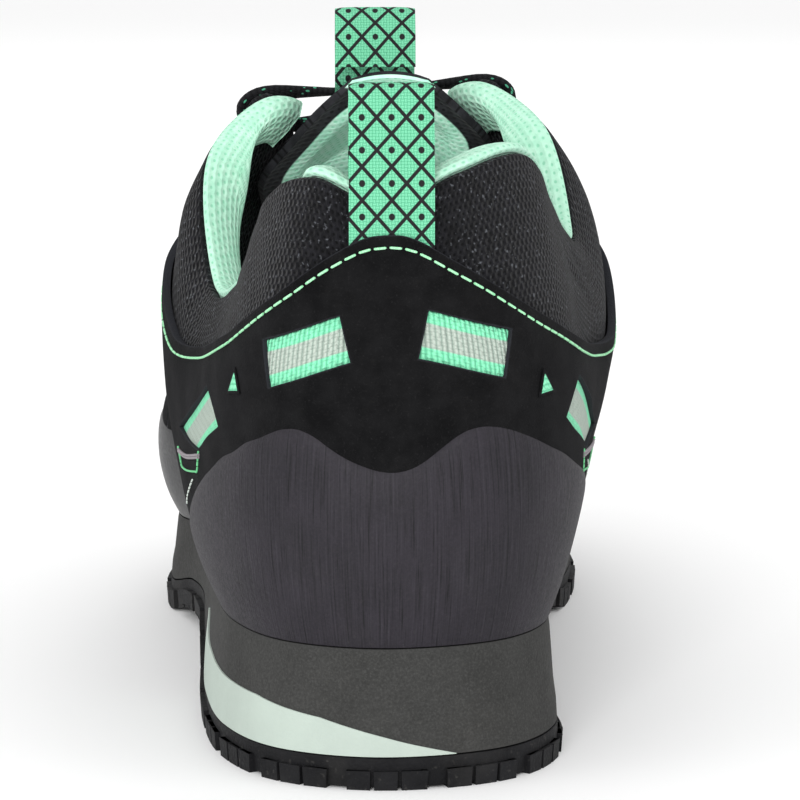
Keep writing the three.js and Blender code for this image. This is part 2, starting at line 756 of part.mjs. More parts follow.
// A sheet of one thickness under a grid of points.
function sheet(rows, thickness) {
  const last = rows.length - 1;
  const under = rows.map((row, r) => row.map((point, c) => {
    const across = row[Math.min(row.length - 1, c + 1)].clone().sub(row[Math.max(0, c - 1)]);
    const along = rows[Math.min(last, r + 1)][c].clone().sub(rows[Math.max(0, r - 1)][c]);
    return point.clone().addScaledVector(across.cross(along).normalize(), -thickness);
  }));
  return loft(rows.map((row, r) => [...row, ...[...under[r]].reverse()]));
}

const tongueGrid = tongueRows();

// Pull loops: a band folded over at the top, from a path of [y, z] points.
function band(path, across, width, thickness) {
  const edgesAt = [across - width / 2, across + width / 2];
  const rows = path.map(([y, z]) => edgesAt.map((x) => new THREE.Vector3(x, y, z)));
  return sheet(rows, -thickness);
}

const heelLoopAcross = 1;
function heelLoopPath() {
  const low = suedeHeelHeight + gap + 0.5;
  const outerLeg = surface(0, shareAtHeight(0, low)).y - gap;
  const padFace = -(upperWall + padThickness + 3 * gap);
  const pads = [-0.6, 0, 0.6].flatMap((s) => [0.85, 0.93, 1].map((t) => layer(s, t, padFace).y));
  const innerLeg = Math.max(...pads) + 6 * gap;
  const top = heelLoopHeight;
  const rimTop = collarHeight + padRoll;
  const fold = 1.4;
  const centre = mix(outerLeg, innerLeg, 0.42);
  return [
    [outerLeg, low], [outerLeg, rimTop + 2], [centre - 2 * fold, top - 7], [centre - fold, top - fold * 1.4],
    [centre, top - loopThickness], [centre + fold, top - fold * 1.4], [centre + 2 * fold, top - 7],
    [innerLeg, rimTop + 2], [innerLeg + 0.6, rimTop - 8],
  ];
}

const tongueLoopAcross = -0.5;
function tongueLoopPath() {
  const crest = tongueGrid[0][3];
  const top = tongueLoopRise - loopThickness;
  return [
    [0.7, 0.7], [1.4, 6], [3.2, top - 2], [5.4, top], [7.6, top - 2], [9.2, 6], [9.6, -2.6], [13, -6.1],
  ].map(([forward, rise]) => [crest.y + forward, crest.z + rise]);
}

// Lacing: each run leaves an eyelet, crosses the tongue and stops short of the other edge.
const laceSides = 4;
function laceRun(points) {
  const curve = new THREE.CatmullRomCurve3(points, false, 'centripetal');
  const count = 4;
  const corner = 1 / Math.sqrt(2);
  const rings = Array.from({ length: count + 1 }, (_, index) => {
    const place = curve.getPoint(index / count);
    const along = curve.getTangent(index / count);
    const across = along.clone().cross(new THREE.Vector3(0, 0, 1)).normalize();
    const up = across.clone().cross(along).normalize();
    return Array.from({ length: laceSides }, (__, side) => {
      const turn = ((side + 0.5) * 2 * Math.PI) / laceSides;
      return place.clone()
        .addScaledVector(across, (Math.cos(turn) * laceWidth) / 2 / corner)
        .addScaledVector(up, (Math.sin(turn) * laceThickness) / 2 / corner);
    });
  });
  return loft(rings);
}

const ringTop = flangeFoot + flangeHeight;
const laceOverRing = ringTop + 4.5 * gap + laceThickness / 2;
const laceOverEdge = coverTop + 9 * gap + laceThickness / 2;
const eyeletAt = (side, index) => eyelets.find((each) => each.side === side && each.index === index);
const mirrored = (side, s) => (side === 'lateral' ? s : stations - s);
function overRing({ place, normal }) {
  return place.clone().addScaledVector(normal, laceOverRing);
}

function crossingRun(side, index) {
  const other = side === 'lateral' ? 'medial' : 'lateral';
  const [low, high] = [eyeletStation(index), eyeletStation(index - 1)];
  const edgePlace = mirrored(side, mix(low, high, 0.22));
  const centrePlace = mix(low, high, 0.5);
  const endPlace = mirrored(other, mix(low, high, 0.8));
  const edge = layer(edgePlace, 1, laceOverEdge);
  const sides = [layer(centrePlace, 1, 0), layer(stations - centrePlace, 1, 0)];
  const centre = sides[0].add(sides[1]).multiplyScalar(0.5);
  const farEdge = layer(endPlace, 1, -tongueOff);
  const end = farEdge.lerp(centre, 0.34);
  centre.z += 3 * gap + laceThickness * 1.5;
  end.z += gap + laceThickness;
  return laceRun([overRing(eyeletAt(side, index)), edge, centre, end]);
}

function topBar() {
  const s = eyeletStation(0);
  const sides = [layer(s, 1, laceOverEdge), layer(stations - s, 1, laceOverEdge)];
  const centre = sides[0].clone().add(sides[1]).multiplyScalar(0.5);
  centre.z += laceThickness / 4;
  return laceRun([
    overRing(eyeletAt('lateral', 0)), sides[0], centre, sides[1], overRing(eyeletAt('medial', 0)),
  ]);
}

addPiece('outsole', makeOutsole(), 0x232325, 0.8);
const midsoleBody = loft(sideLevels(midsoleFloor, soleTop, midsoleSide), { tips: true });
addPiece('midsole', mainBody(midsoleBody.subtract(wedgeBand(wedgeClearance, () => -2))), 0x484946, 0.85);
addPiece('midsole_wedge', wedgeBand(0, midsoleInset), 0xdce8e0, 0.8);
addPiece('insole', makeInsole(), 0x2a2c2c, 0.9);

const holes = eyeletHoles();
addPiece('upper', shell(-upperWall, 0).subtract(holes), 0x28282d, 0.9);
addPiece('collar_lining', makeLining(), 0xafe8cd, 0.9);
addPiece('suede_quarter', mainBody(suede.intersect(quarterRegion)), 0x212122, 0.95);
addPiece('suede_vamp', mainBody(suede.intersect(vampRegion)), 0x212122, 0.95);
addPiece('eyestay', mainBody(suedeShell.intersect(eyestayRegion(0)).subtract(holes)), 0x1d1d1f, 0.8);
addPiece('heel_counter', mainBody(shell(gap, counterThickness).intersect(counterRegion(0))), 0x444347, 0.6);
addPiece('toe_rand', mainBody(shell(gap, randThickness + gap).intersect(randRegion(0))), 0x3c3c3f, 0.4);
addPiece('strap_lateral', makeStrap(-1), 0xcddcd0, 0.85);
addPiece('strap_medial', makeStrap(1), 0xcddcd0, 0.85);
addPiece('tongue', sheet(tongueGrid, tongueThickness), 0x2a2a2e, 0.9);
addPiece('tongue_loop', band(tongueLoopPath(), tongueLoopAcross, loopWidth, loopThickness), 0x8fe6be, 0.8);
addPiece('heel_loop', band(heelLoopPath(), heelLoopAcross, loopWidth, loopThickness), 0x8fe6be, 0.8);
eyelets.forEach((eyelet) => {
  addPiece(`eyelet_${eyelet.side}_${eyelet.index + 1}`, eyeletRing(eyelet), 0x2b2b2d, 0.4, 0.6);
});

for (let index = 1; index < eyeletPairs; index += 1) {
  const crossing = crossingRun('lateral', index).add(crossingRun('medial', index));
  addPiece(`lace_crossing_${index}`, crossing, 0x1f2123, 0.85);
}
addPiece('lace_top', topBar(), 0x1f2123, 0.85);

const box = new THREE.Box3().setFromObject(group);
const middle = box.getCenter(new THREE.Vector3());
group.position.set(-middle.x, -middle.y, -box.min.z);

export default group;
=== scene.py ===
# %% [markdown]
# # An approach shoe, seen from behind
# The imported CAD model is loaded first. It stays as a fixed frame, and each cell below adds one
# piece of the shoe in the same place at a finer grain.

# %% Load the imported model
import math

import bmesh
import bpy
import numpy as np
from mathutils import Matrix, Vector, kdtree


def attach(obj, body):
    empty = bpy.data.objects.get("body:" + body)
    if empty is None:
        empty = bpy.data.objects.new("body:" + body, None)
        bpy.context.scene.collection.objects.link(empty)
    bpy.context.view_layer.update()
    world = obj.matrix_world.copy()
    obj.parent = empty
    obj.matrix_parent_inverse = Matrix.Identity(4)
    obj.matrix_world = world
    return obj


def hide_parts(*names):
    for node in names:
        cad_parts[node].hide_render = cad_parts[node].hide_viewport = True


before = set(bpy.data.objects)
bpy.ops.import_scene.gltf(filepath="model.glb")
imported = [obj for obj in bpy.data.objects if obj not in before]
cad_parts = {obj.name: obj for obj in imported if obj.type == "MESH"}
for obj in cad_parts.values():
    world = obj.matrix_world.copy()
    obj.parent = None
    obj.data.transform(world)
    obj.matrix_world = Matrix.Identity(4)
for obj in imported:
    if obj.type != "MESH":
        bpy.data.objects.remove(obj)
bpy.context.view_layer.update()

# %% [markdown]
# ## The last's surface
# A shoe is built round a last, and every layer of the upper is that one form at another offset.
# It could be sculpted, but then each overlay would have to be fitted by eye. Here a short table
# of sections gives the sole's outline, the rim and the wall's swell, and one function returns a
# point for a station s round the shoe and a share t from the sole to the rim.

# %% Sizes and tables, in millimetres
SOLE_LENGTH, BALL_WIDTH, HEEL_WIDTH = 268, 91, 70
HEEL_STACK, FOREFOOT_STACK, TOE_SPRING, ARCH_RISE = 26.5, 19.5, 12, 5
OUTSOLE, LUG_DEPTH, LUG_LENGTH, LUG_GAP, LUG_REACH, LUG_PROUD = 6, 3.2, 15, 4, 10, 0.5
SETTLED, LUG_ROOT = 0.4, 0.5
WEDGE_HEIGHT, SOLE_LEDGE = 9, 2.2
COLLAR, INSTEP, VAMP = 110, 120, 64
WALL, SUEDE, COUNTER, RAND = 2.4, 1.7, 2.6, 2.2
COUNTER_HEIGHT, RAND_HEIGHT, SUEDE_HEEL = 62, 26, 104.5
EYESTAY_WIDTH, INSOLE = 15, 4
PAD, PAD_ROLL, LINING, TONGUE = 7.5, 2.6, 2.2, 5
GAP = 0.3

SECTIONS = np.array([  # along, lateral, medial, stack, arch, spring
    (0, 0, 0, 1, 0, 0), (0.03, 0.29, 0.325, 1, 0, 0), (0.105, 0.445, 0.48, 1, 0, 0),
    (0.215, 0.505, 0.468, 0.98, 0, 0), (0.335, 0.48, 0.4, 0.93, 0.25, 0),
    (0.42, 0.45, 0.365, 0.85, 0.9, 0), (0.495, 0.43, 0.378, 0.65, 1, 0),
    (0.57, 0.446, 0.419, 0.38, 0.75, 0), (0.65, 0.5, 0.476, 0.12, 0, 0),
    (0.74, 0.49, 0.505, 0, 0, 0.02), (0.83, 0.415, 0.473, -0.12, 0, 0.22),
    (0.915, 0.275, 0.379, -0.25, 0, 0.56), (0.975, 0.1, 0.253, -0.35, 0, 0.88),
    (1, -0.088, 0.088, -0.4, 0, 1),
])
THROAT = INSTEP - VAMP
RIM = np.array([  # lateral along, across, up, then medial
    (0.02, 0, COLLAR, 0.02, 0, COLLAR),
    (0.034, 0.154, 1.043 * COLLAR, 0.034, 0.154, 1.05 * COLLAR),
    (0.1, 0.248, 0.989 * COLLAR, 0.1, 0.299, 1.062 * COLLAR),
    (0.213, 0.314, 0.805 * COLLAR, 0.213, 0.387, 0.912 * COLLAR),
    (0.295, 0.376, 0.773 * COLLAR, 0.295, 0.432, 0.864 * COLLAR),
    (0.373, 0.391, 0.9 * INSTEP, 0.373, 0.385, 0.95 * INSTEP),
    (0.416, 0.236, 0.998 * INSTEP, 0.42, 0.225, 1.02 * INSTEP),
    (0.485, 0.198, VAMP + 0.75 * THROAT, 0.489, 0.214, VAMP + 0.786 * THROAT),
    (0.56, 0.187, VAMP + 0.482 * THROAT, 0.563, 0.225, VAMP + 0.5 * THROAT),
    (0.634, 0.181, VAMP + 0.223 * THROAT, 0.638, 0.231, VAMP + 0.232 * THROAT),
    (0.694, 0.141, VAMP + 0.062 * THROAT, 0.698, 0.203, VAMP + 0.068 * THROAT),
    (0.722, 0.066, VAMP + 0.014 * THROAT, 0.724, 0.137, VAMP + 0.018 * THROAT),
    (0.729, 0, VAMP + 0.004 * THROAT, 0.73, 0.077, VAMP + 0.004 * THROAT),
    (0.731, -0.038, VAMP, 0.731, 0.038, VAMP),
])
BELLY = np.array([  # rise, drop, lateral low, lateral high, medial low, medial high
    (0.33, 0.3, 0.1, 0.04, 0.1, 0.04), (0.33, 0.3, 0.1, 0.055, 0.11, 0.066),
    (0.33, 0.3, 0.1, 0.06, 0.12, 0.075), (0.35, 0.3, 0.119, 0.096, 0.19, 0.07),
    (0.36, 0.3, 0.07, 0.155, 0.188, 0.15), (0.36, 0.3, 0.045, 0.155, 0.19, 0.23),
    (0.36, 0.3, 0.055, 0.255, 0.17, 0.32), (0.36, 0.28, 0.07, 0.25, 0.15, 0.26),
    (0.36, 0.28, 0.15, 0.187, 0.12, 0.22), (0.4, 0.22, 0.14, 0.165, 0.1, 0.176),
    (0.5, 0.12, 0.09, 0.22, 0.09, 0.22), (0.55, 0.06, 0.055, 0.286, 0.055, 0.286),
    (0.58, 0.04, 0.033, 0.33, 0.033, 0.33), (0.58, 0.04, 0.022, 0.352, 0.022, 0.352),
])
EDGES = np.array([  # counter lateral, counter medial, rand, suede lateral, suede medial
    (1, 1, 0, 1, 1), (1.09, 1.1, 0, 0.885, 0.895), (0.985, 0.985, 0, 0.785, 0.805),
    (0.7, 0.77, 0, 0.715, 0.73), (0.42, 0.46, 0, 0.712, 0.712), (0, 0, 0, 0.83, 0.83),
    (0, 0, 0.06, 0.96, 0.96), (0, 0, 0.68, 1.2, 1.2), (0, 0, 0.94, 1.2, 1.2),
    (0, 0, 1, 1.2, 1.2), (0, 0, 1, 1.2, 1.2), (0, 0, 0.98, 1.2, 1.2),
    (0, 0, 0.96, 1.2, 1.2), (0, 0, 0.95, 1.2, 1.2),
])
STRAP_LINE = np.array([(0.79, 0.79), (0.736, 0.75), (0.66, 0.675), (0.53, 0.545)] + [(0.44, 0.455)] * 10)
WINDOWS = ((0.4, 1.22), (2.5, 3.12))
TOE_ROW, ROUND, TOP_CORNER, THROAT_END = 13, 26, 6, 10
SHIFT = np.array([-0.074, -132.624, 0.0])

# %% The surface as a function of station and share


def smooth(x):
    x = np.clip(x, 0, 1)
    return x * x * (3 - 2 * x)


def mix(a, b, x):
    return a + (b - a) * x


def around(lateral, medial):
    """One value a station: heel, lateral side, toe, medial side."""
    return np.array([lateral[i] if i <= TOE_ROW else medial[ROUND - i] for i in range(ROUND)])


def cyclic(values, s):
    s = np.asarray(s, float)
    i = np.floor(s).astype(int)
    f = s - i
    a, b, c, d = (values[(i + k) % ROUND] for k in (-1, 0, 1, 2))
    return b + 0.5 * f * (c - a + f * (2 * a - 5 * b + 4 * c - d + f * (3 * (b - c) + d - a)))


def by_length(column):
    x, y = SECTIONS[:, 0], SECTIONS[:, column]
    slope = np.diff(y) / np.diff(x)
    before, after = np.r_[slope[0], slope], np.r_[slope, slope[-1]]
    tangent = np.where(before * after > 0, 2 * before * after / np.where(before + after == 0, 1, before + after), 0)

    def curve(along):
        place = np.clip(along, 0, 1)
        i = np.clip(np.searchsorted(x, place, side="right") - 1, 0, len(x) - 2)
        width = x[i + 1] - x[i]
        f = (place - x[i]) / width
        f2, f3 = f * f, f * f * f
        return ((2 * f3 - 3 * f2 + 1) * y[i] + (f3 - 2 * f2 + f) * width * tangent[i]
                + (3 * f2 - 2 * f3) * y[i + 1] + (f3 - f2) * width * tangent[i + 1])
    return curve


stack_share, arch_share, spring_share = by_length(3), by_length(4), by_length(5)


def ground(y):
    return spring_share(y / SOLE_LENGTH) * TOE_SPRING


def tread_under(y):
    return ground(y) + arch_share(y / SOLE_LENGTH) * ARCH_RISE


def tread_top(y):
    return tread_under(y) + OUTSOLE


def sole_top(y):
    return ground(y) + mix(FOREFOOT_STACK, HEEL_STACK, stack_share(y / SOLE_LENGTH))


local_width = mix(HEEL_WIDTH, BALL_WIDTH, smooth((SECTIONS[:, 0] - 0.2) / 0.4))
OUT_X = around(-SECTIONS[:, 1] * local_width, SECTIONS[:, 2] * local_width)
OUT_Y = around(SECTIONS[:, 0] * SOLE_LENGTH, SECTIONS[:, 0] * SOLE_LENGTH)
RIM_X = around(-RIM[:, 1] * BALL_WIDTH, RIM[:, 4] * BALL_WIDTH)
RIM_Y = around(RIM[:, 0] * SOLE_LENGTH, RIM[:, 3] * SOLE_LENGTH)
RIM_Z = around(RIM[:, 2], RIM[:, 5])
RISE, DROP = around(BELLY[:, 0], BELLY[:, 0]), around(BELLY[:, 1], BELLY[:, 1])
LOW_OUT = around(BELLY[:, 2], BELLY[:, 4]) * BALL_WIDTH
HIGH_OUT = around(BELLY[:, 3], BELLY[:, 5]) * BALL_WIDTH
FEATHER = SOLE_LEDGE + COUNTER


def unit(v):
    return v / np.maximum(np.linalg.norm(v, axis=-1, keepdims=True), 1e-9)


def outline(s):
    return np.stack([cyclic(OUT_X, s), cyclic(OUT_Y, s)], -1)


def outward(s):
    s = np.asarray(s, float)
    along = unit(outline(s + 0.02) - outline(s - 0.02))
    return np.stack([-along[..., 1], along[..., 0]], -1)


def outline_in(s, inset):
    return outline(s) - outward(s) * np.asarray(inset)[..., None]


def profile(s):
    foot, out = outline_in(s, FEATHER), outward(s)
    start = np.stack([foot[..., 0], foot[..., 1], sole_top(foot[..., 1]) + GAP], -1)
    end = np.stack([cyclic(RIM_X, s), cyclic(RIM_Y, s), cyclic(RIM_Z, s)], -1)
    side = np.stack([out[..., 0], out[..., 1], 0 * out[..., 0]], -1)
    height = end[..., 2] - start[..., 2]
    low = start + side * cyclic(LOW_OUT, s)[..., None]
    low[..., 2] += cyclic(RISE, s) * height
    high = end + side * cyclic(HIGH_OUT, s)[..., None]
    high[..., 2] -= cyclic(DROP, s) * height
    return start, low, high, end


def surface(s, t):
    s, t = np.broadcast_arrays(np.asarray(s, float), np.asarray(t, float))
    a, b, c, d = profile(s)
    t = t[..., None]
    return a * (1 - t) ** 3 + b * 3 * t * (1 - t) ** 2 + c * 3 * t * t * (1 - t) + d * t ** 3


def facing(s, t):
    s, t = np.broadcast_arrays(np.asarray(s, float), np.asarray(t, float))
    here = np.clip(t, 0.01, 0.99)
    up = surface(s, here + 0.01) - surface(s, here - 0.01)
    turn = surface(s + 0.01, here) - surface(s - 0.01, here)
    normal = unit(np.cross(up, turn))
    normal[..., 2] *= smooth(t / 0.12)
    return unit(normal)


def layer(s, t, offset):
    base = surface(s, t)
    point = base + facing(s, t) * np.broadcast_to(offset, base.shape[:-1])[..., None]
    blend = 1 - smooth(np.broadcast_to(t, base.shape[:-1]) / 0.3)
    point[..., 2] += (sole_top(point[..., 1]) - sole_top(base[..., 1])) * blend
    return point


def share_at_height(s, height):
    s, height = np.broadcast_arrays(np.asarray(s, float), np.asarray(height, float))
    low, high = np.zeros(s.shape), np.ones(s.shape)
    for _ in range(24):
        middle = (low + high) / 2
        under = surface(s, middle)[..., 2] < height
        low, high = np.where(under, middle, low), np.where(under, high, middle)
    return low


def share_below_edge(s, distance):
    s = np.atleast_1d(np.asarray(s, float))
    distance = np.broadcast_to(distance, s.shape)
    steps = np.linspace(1, 0, 91)
    points = surface(s[:, None], steps[None, :])
    run = np.concatenate([np.zeros((len(s), 1)), np.cumsum(np.linalg.norm(np.diff(points, axis=1), axis=-1), 1)], 1)
    return np.array([np.interp(d, r, steps) for d, r in zip(distance, run)])


print("collar rim at the heel, mm", surface(0, 1).round(1))

# %% Edges of the overlays, as shares of the wall
counter_line = around(EDGES[:, 0], EDGES[:, 1])
rand_line = around(EDGES[:, 2], EDGES[:, 2])
suede_line = around(EDGES[:, 3], EDGES[:, 4])
strap_line = around(STRAP_LINE[:, 0], STRAP_LINE[:, 1])

# Finer course of two of the lines, in mm over the plain one, by station
COUNTER_FINE = ((-3, 0), (-2, -3), (-1.5, -2.5), (-1, 1), (-0.7, 2.5), (-0.4, 0), (0, -0.5), (0.4, 0.5),
                (0.7, 2.5), (1, 0), (1.6, -3), (2.2, -3), (3, 0))
SUEDE_FINE = ((-4.4, 0), (-3.7, 0.8), (-2.9, -0.4), (-2.2, -1.5), (-1.5, 0), (-1.2, 1.5), (-0.9, 3), (-0.5, 2), (0, -0.5),
              (0.4, 1.5), (0.75, 3), (1.2, 2), (2, 1), (3.5, 0.5), (4.2, 0))


def fine_course(s, table):
    """Small steps of a line, eased between its rows."""
    s = (np.asarray(s) + ROUND / 2) % ROUND - ROUND / 2
    station, lift = np.array(table, float).T
    return np.mean([np.interp(s + step, station, lift) for step in np.linspace(-0.12, 0.12, 7)], axis=0)


def counter_top(s):
    plain = cyclic(counter_line, s) * COUNTER_HEIGHT
    return np.maximum(0.02, share_at_height(s, plain + fine_course(s, COUNTER_FINE)))


def rand_top(s):
    foot = sole_top(outline_in(s, FEATHER)[..., 1])
    return np.maximum(0.02, share_at_height(s, foot + cyclic(rand_line, s) * RAND_HEIGHT))


def suede_top(s):
    return share_at_height(s, cyclic(suede_line, s) * SUEDE_HEEL + fine_course(s, SUEDE_FINE))


def eyestay_low(s):
    return share_below_edge(s, EYESTAY_WIDTH)


def strap_edges(s, clear=0.0):
    s = np.asarray(s, float)
    steep = 1 + 0.22 * smooth(np.abs(s) - 1)
    half = 9.4 / 2 * steep + clear
    away = np.abs(np.asarray(s, float))
    sink = np.where(np.asarray(s) > 0, 2.0, 4.5) * smooth((away - 1.25) / 0.8)
    middle = -sink + cyclic(strap_line, s) * COLLAR
    return share_at_height(s, middle - half), share_at_height(s, middle + half)


# %% [markdown]
# ## From a grid of points to a mesh
# Patches of the surface become meshes with a UV map in real metres, so that a knit or a weave keeps its scale, and with
# the distance to the nearest cut edge, for fuzz and lighter edges. Solidify gives a patch its thickness and Bevel
# softens the cut edges.

# %% Mesh helpers
MM = 0.001
made = {}


def grid_faces(columns, rows, wrap):
    c, r = np.meshgrid(np.arange(columns if wrap else columns - 1), np.arange(rows - 1), indexing="ij")
    corners = [(c, r), (c, r + 1), (c + 1, r + 1), (c + 1, r)]
    return np.stack([np.stack(pair, -1) for pair in corners], 2).reshape(-1, 4, 2)


def run_lengths(points, axis):
    steps = np.linalg.norm(np.diff(points, axis=axis), axis=-1)
    zero = np.zeros_like(np.take(steps, [0], axis=axis))
    return np.concatenate([zero, np.cumsum(steps, axis=axis)], axis=axis)


def build(name, points, faces, material, corner_uv=None, floats=None, sharp=40):
    """points in millimetres, faces as lists of point numbers, floats one value a point."""
    mesh = bpy.data.meshes.new(name)
    mesh.from_pydata(((points + SHIFT) * MM).tolist(), [], [list(map(int, f)) for f in faces])
    if corner_uv is not None:
        mesh.uv_layers.new(name="surface")
        mesh.uv_layers["surface"].data.foreach_set("uv", np.asarray(corner_uv, float).reshape(-1) * MM)
    for key, values in (floats or {}).items():
        mesh.attributes.new(key, "FLOAT", "POINT").data.foreach_set("value", np.asarray(values, float).reshape(-1))
    mesh.polygons.foreach_set("use_smooth", [True] * len(mesh.polygons))
    if sharp:
        mesh.set_sharp_from_angle(angle=math.radians(sharp))
    mesh.materials.append(material)
    mesh.update()
    obj = bpy.data.objects.new(name, mesh)
    bpy.context.scene.collection.objects.link(obj)
    made[name] = obj
    return obj


def finish_piece(obj, replaces=()):
    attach(obj, "root")
    if replaces:
        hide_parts(*replaces)
    print(obj.name, len(obj.data.vertices), "points", len(obj.data.polygons), "faces")
    return obj


def distance_to(points, targets):
    tree = kdtree.KDTree(len(targets))
    for i, p in enumerate(targets):
        tree.insert(p, i)
    tree.balance()
    return np.array([tree.find(p)[2] for p in points])


def edge_points(points, faces):
    """Points on the open edges of a patch."""
    pairs = np.sort(np.concatenate([faces[:, [i, (i + 1) % 4]] for i in range(4)]), axis=1)
    found, count = np.unique(pairs, axis=0, return_counts=True)
    return points[np.unique(found[count == 1])]


def patch(name, s, t, offset, thickness, material, hole=None, wrap=False, bevel=0.45, from_top=True, lift=None):
    """A layer of the upper: columns s, rows t of shape (columns, rows), offset in millimetres."""
    columns, rows = t.shape
    stations = np.repeat(s[:, None], rows, 1) if s.ndim == 1 else s
    points = layer(stations, t, offset)
    if lift is not None:
        points = points + facing(stations, t) * lift(stations, t, points)[..., None]
    closed = np.concatenate([points, points[:1]]) if wrap else points
    u = np.repeat(run_lengths(closed, 0)[:, rows // 2][:, None], rows, 1)
    v = run_lengths(closed, 1)
    v = v - v[:, -1:] if from_top else v
    corners = grid_faces(columns, rows, wrap)
    if hole is not None:
        middle = corners.mean(1)
        keep = ~hole(middle[:, 0], middle[:, 1])
        corners = corners[keep]
    uv = np.stack([u[corners[..., 0], corners[..., 1]], v[corners[..., 0], corners[..., 1]]], -1)
    numbers = (corners[..., 0] % columns) * rows + corners[..., 1]
    flat = points.reshape(-1, 3)
    used, numbers = np.unique(numbers, return_inverse=True)
    numbers = numbers.reshape(-1, 4)
    flat = flat[used]
    floats = {"edge": distance_to(flat, edge_points(flat, numbers))}
    obj = build(name, flat, numbers, material, uv, floats)
    if thickness:
        solid = obj.modifiers.new("thickness", "SOLIDIFY")
        solid.thickness = thickness * MM
        solid.offset = -1
    if bevel:
        soft = obj.modifiers.new("soft edge", "BEVEL")
        soft.width = bevel * MM
        soft.segments = 2
        soft.limit_method = "ANGLE"
        soft.angle_limit = math.radians(50)
    return obj


def loft(name, rings, material, closed=False, caps=True, uv=True, floats=None, sharp=40, flip=False, origin=0):
    """A tube through rings of points: shape (rings, points round, 3). v counts from one of them."""
    count, round_ = rings.shape[:2]
    corners = grid_faces(count, round_, closed).copy()
    last = grid_faces(count, 2, closed).copy()
    last[..., 1] = np.where(last[..., 1] == 0, round_ - 1, round_)
    corners = np.concatenate([corners, last])
    ring_points = np.concatenate([rings, rings[:, :1]], 1)
    ring_points = np.concatenate([ring_points, ring_points[:1]]) if closed else ring_points
    u, v = run_lengths(ring_points, 0), run_lengths(ring_points, 1)
    v = v - v[:, origin:origin + 1]
    u = np.repeat(u.mean(1, keepdims=True), u.shape[1], 1)
    faces = (corners[..., 0] % count) * round_ + corners[..., 1] % round_
    order = [3, 2, 1, 0] if flip else [0, 1, 2, 3]
    faces, corners = faces[:, order], corners[:, order]
    corner_uv = np.stack([u[corners[..., 0], corners[..., 1]], v[corners[..., 0], corners[..., 1]]], -1)
    face_list, uv_list = faces.tolist(), corner_uv.reshape(-1, 2).tolist()
    if caps and not closed:
        for ring, turn in ((0, 1), (count - 1, -1)):
            order = list(range(round_))[:: turn * (-1 if flip else 1)]
            face_list.append([ring * round_ + i for i in order])
            uv_list += [[u[ring, 0], v[ring, i]] for i in order]
    return build(name, rings.reshape(-1, 3), face_list, material, uv_list, floats, sharp)


def spread(low, high, count, *also):
    """Evenly spaced values with some exact ones among them."""
    values = np.concatenate([np.linspace(low, high, count), [a for a in also if low < a < high]])
    values = np.unique(values.round(5))
    keep = [values[0]]
    exact = {round(a, 5) for a in also} | {round(high, 5)}
    for v in values[1:]:
        if v - keep[-1] > 0.012 or v in exact:
            if v - keep[-1] <= 0.012 and keep[-1] not in exact and len(keep) > 1:
                keep.pop()
            keep.append(v)
    return np.array(keep)

# %% [markdown]
# ## Camera, floor and light
# The photograph looks at the heel from a little above and a little left, from so far that the
# lines hardly converge. A long lens at the same distance gives that view. Large soft lights
# from above and both sides leave only a faint shadow on a pale floor.

# %% Camera
ELEVATION, HEADING = math.radians(9.14), math.radians(1.175)
camera_data = bpy.data.cameras.new("camera")
camera_data.lens, camera_data.sensor_width = 209.25, 36
camera_data.clip_start, camera_data.clip_end = 0.05, 20
camera = bpy.data.objects.new("camera", camera_data)
look = Vector((math.sin(HEADING) * math.cos(ELEVATION), math.cos(HEADING) * math.cos(ELEVATION), -math.sin(ELEVATION)))
camera.location = (np.array([-15, -850, 211]) + SHIFT) * MM
camera.rotation_euler = look.to_track_quat("-Z", "Y").to_euler()
bpy.context.scene.collection.objects.link(camera)
bpy.context.scene.camera = camera
print("camera at", tuple(round(v, 3) for v in camera.location))

# %% Floor and lights


def node_material(name):
    material = bpy.data.materials.new(name)
    material.use_nodes = True
    return material, material.node_tree, material.node_tree.nodes["Principled BSDF"]


floor_material, floor_tree, floor_shader = node_material("pale floor")
floor_shader.inputs["Base Color"].default_value = (0.98, 0.98, 0.98, 1)
floor_shader.inputs["Roughness"].default_value = 0.85
floor_mesh = bpy.data.meshes.new("floor")
floor_mesh.from_pydata([(-6, -6, 0), (6, -6, 0), (6, 6, 0), (-6, 6, 0)], [], [(0, 1, 2, 3)])
floor_mesh.materials.append(floor_material)
floor = bpy.data.objects.new("floor", floor_mesh)
bpy.context.scene.collection.objects.link(floor)

world = bpy.data.worlds.new("studio")
world.use_nodes = True
world.node_tree.nodes["Background"].inputs["Color"].default_value = (1, 1, 1, 1)
world.node_tree.nodes["Background"].inputs["Strength"].default_value = 0.95
bpy.context.scene.world = world


def soft_light(name, place, aim, size, watts):
    data = bpy.data.lights.new(name, "AREA")
    data.size, data.energy = size, watts
    obj = bpy.data.objects.new(name, data)
    obj.location = place
    obj.rotation_euler = (Vector(aim) - Vector(place)).to_track_quat("-Z", "Y").to_euler()
    bpy.context.scene.collection.objects.link(obj)


soft_light("key light", (-0.25, -1.4, 0.42), (0, -0.02, 0.1), 0.45, 10)
soft_light("left light", (-1.1, -0.5, 0.5), (0, -0.1, 0.06), 0.6, 1.8)
soft_light("right light", (1.1, -0.5, 0.55), (0, -0.1, 0.06), 0.6, 1.6)
soft_light("front light", (0.1, 1.2, 0.8), (0, 0.05, 0.05), 0.8, 2)
bpy.context.scene.view_settings.view_transform = "Standard"

# %% [markdown]
# ## Finishes
# Each real finish has its own grain: suede has a nap that catches light in soft blotches, the
# knit is a net of small loops, the webbing has ribs, the rubber a fine skin. Textures could be
# painted, but node patterns stay sharp at any distance and need no image. Effects that several
# finishes share are node groups with named inputs.

# %% A short way to write node trees


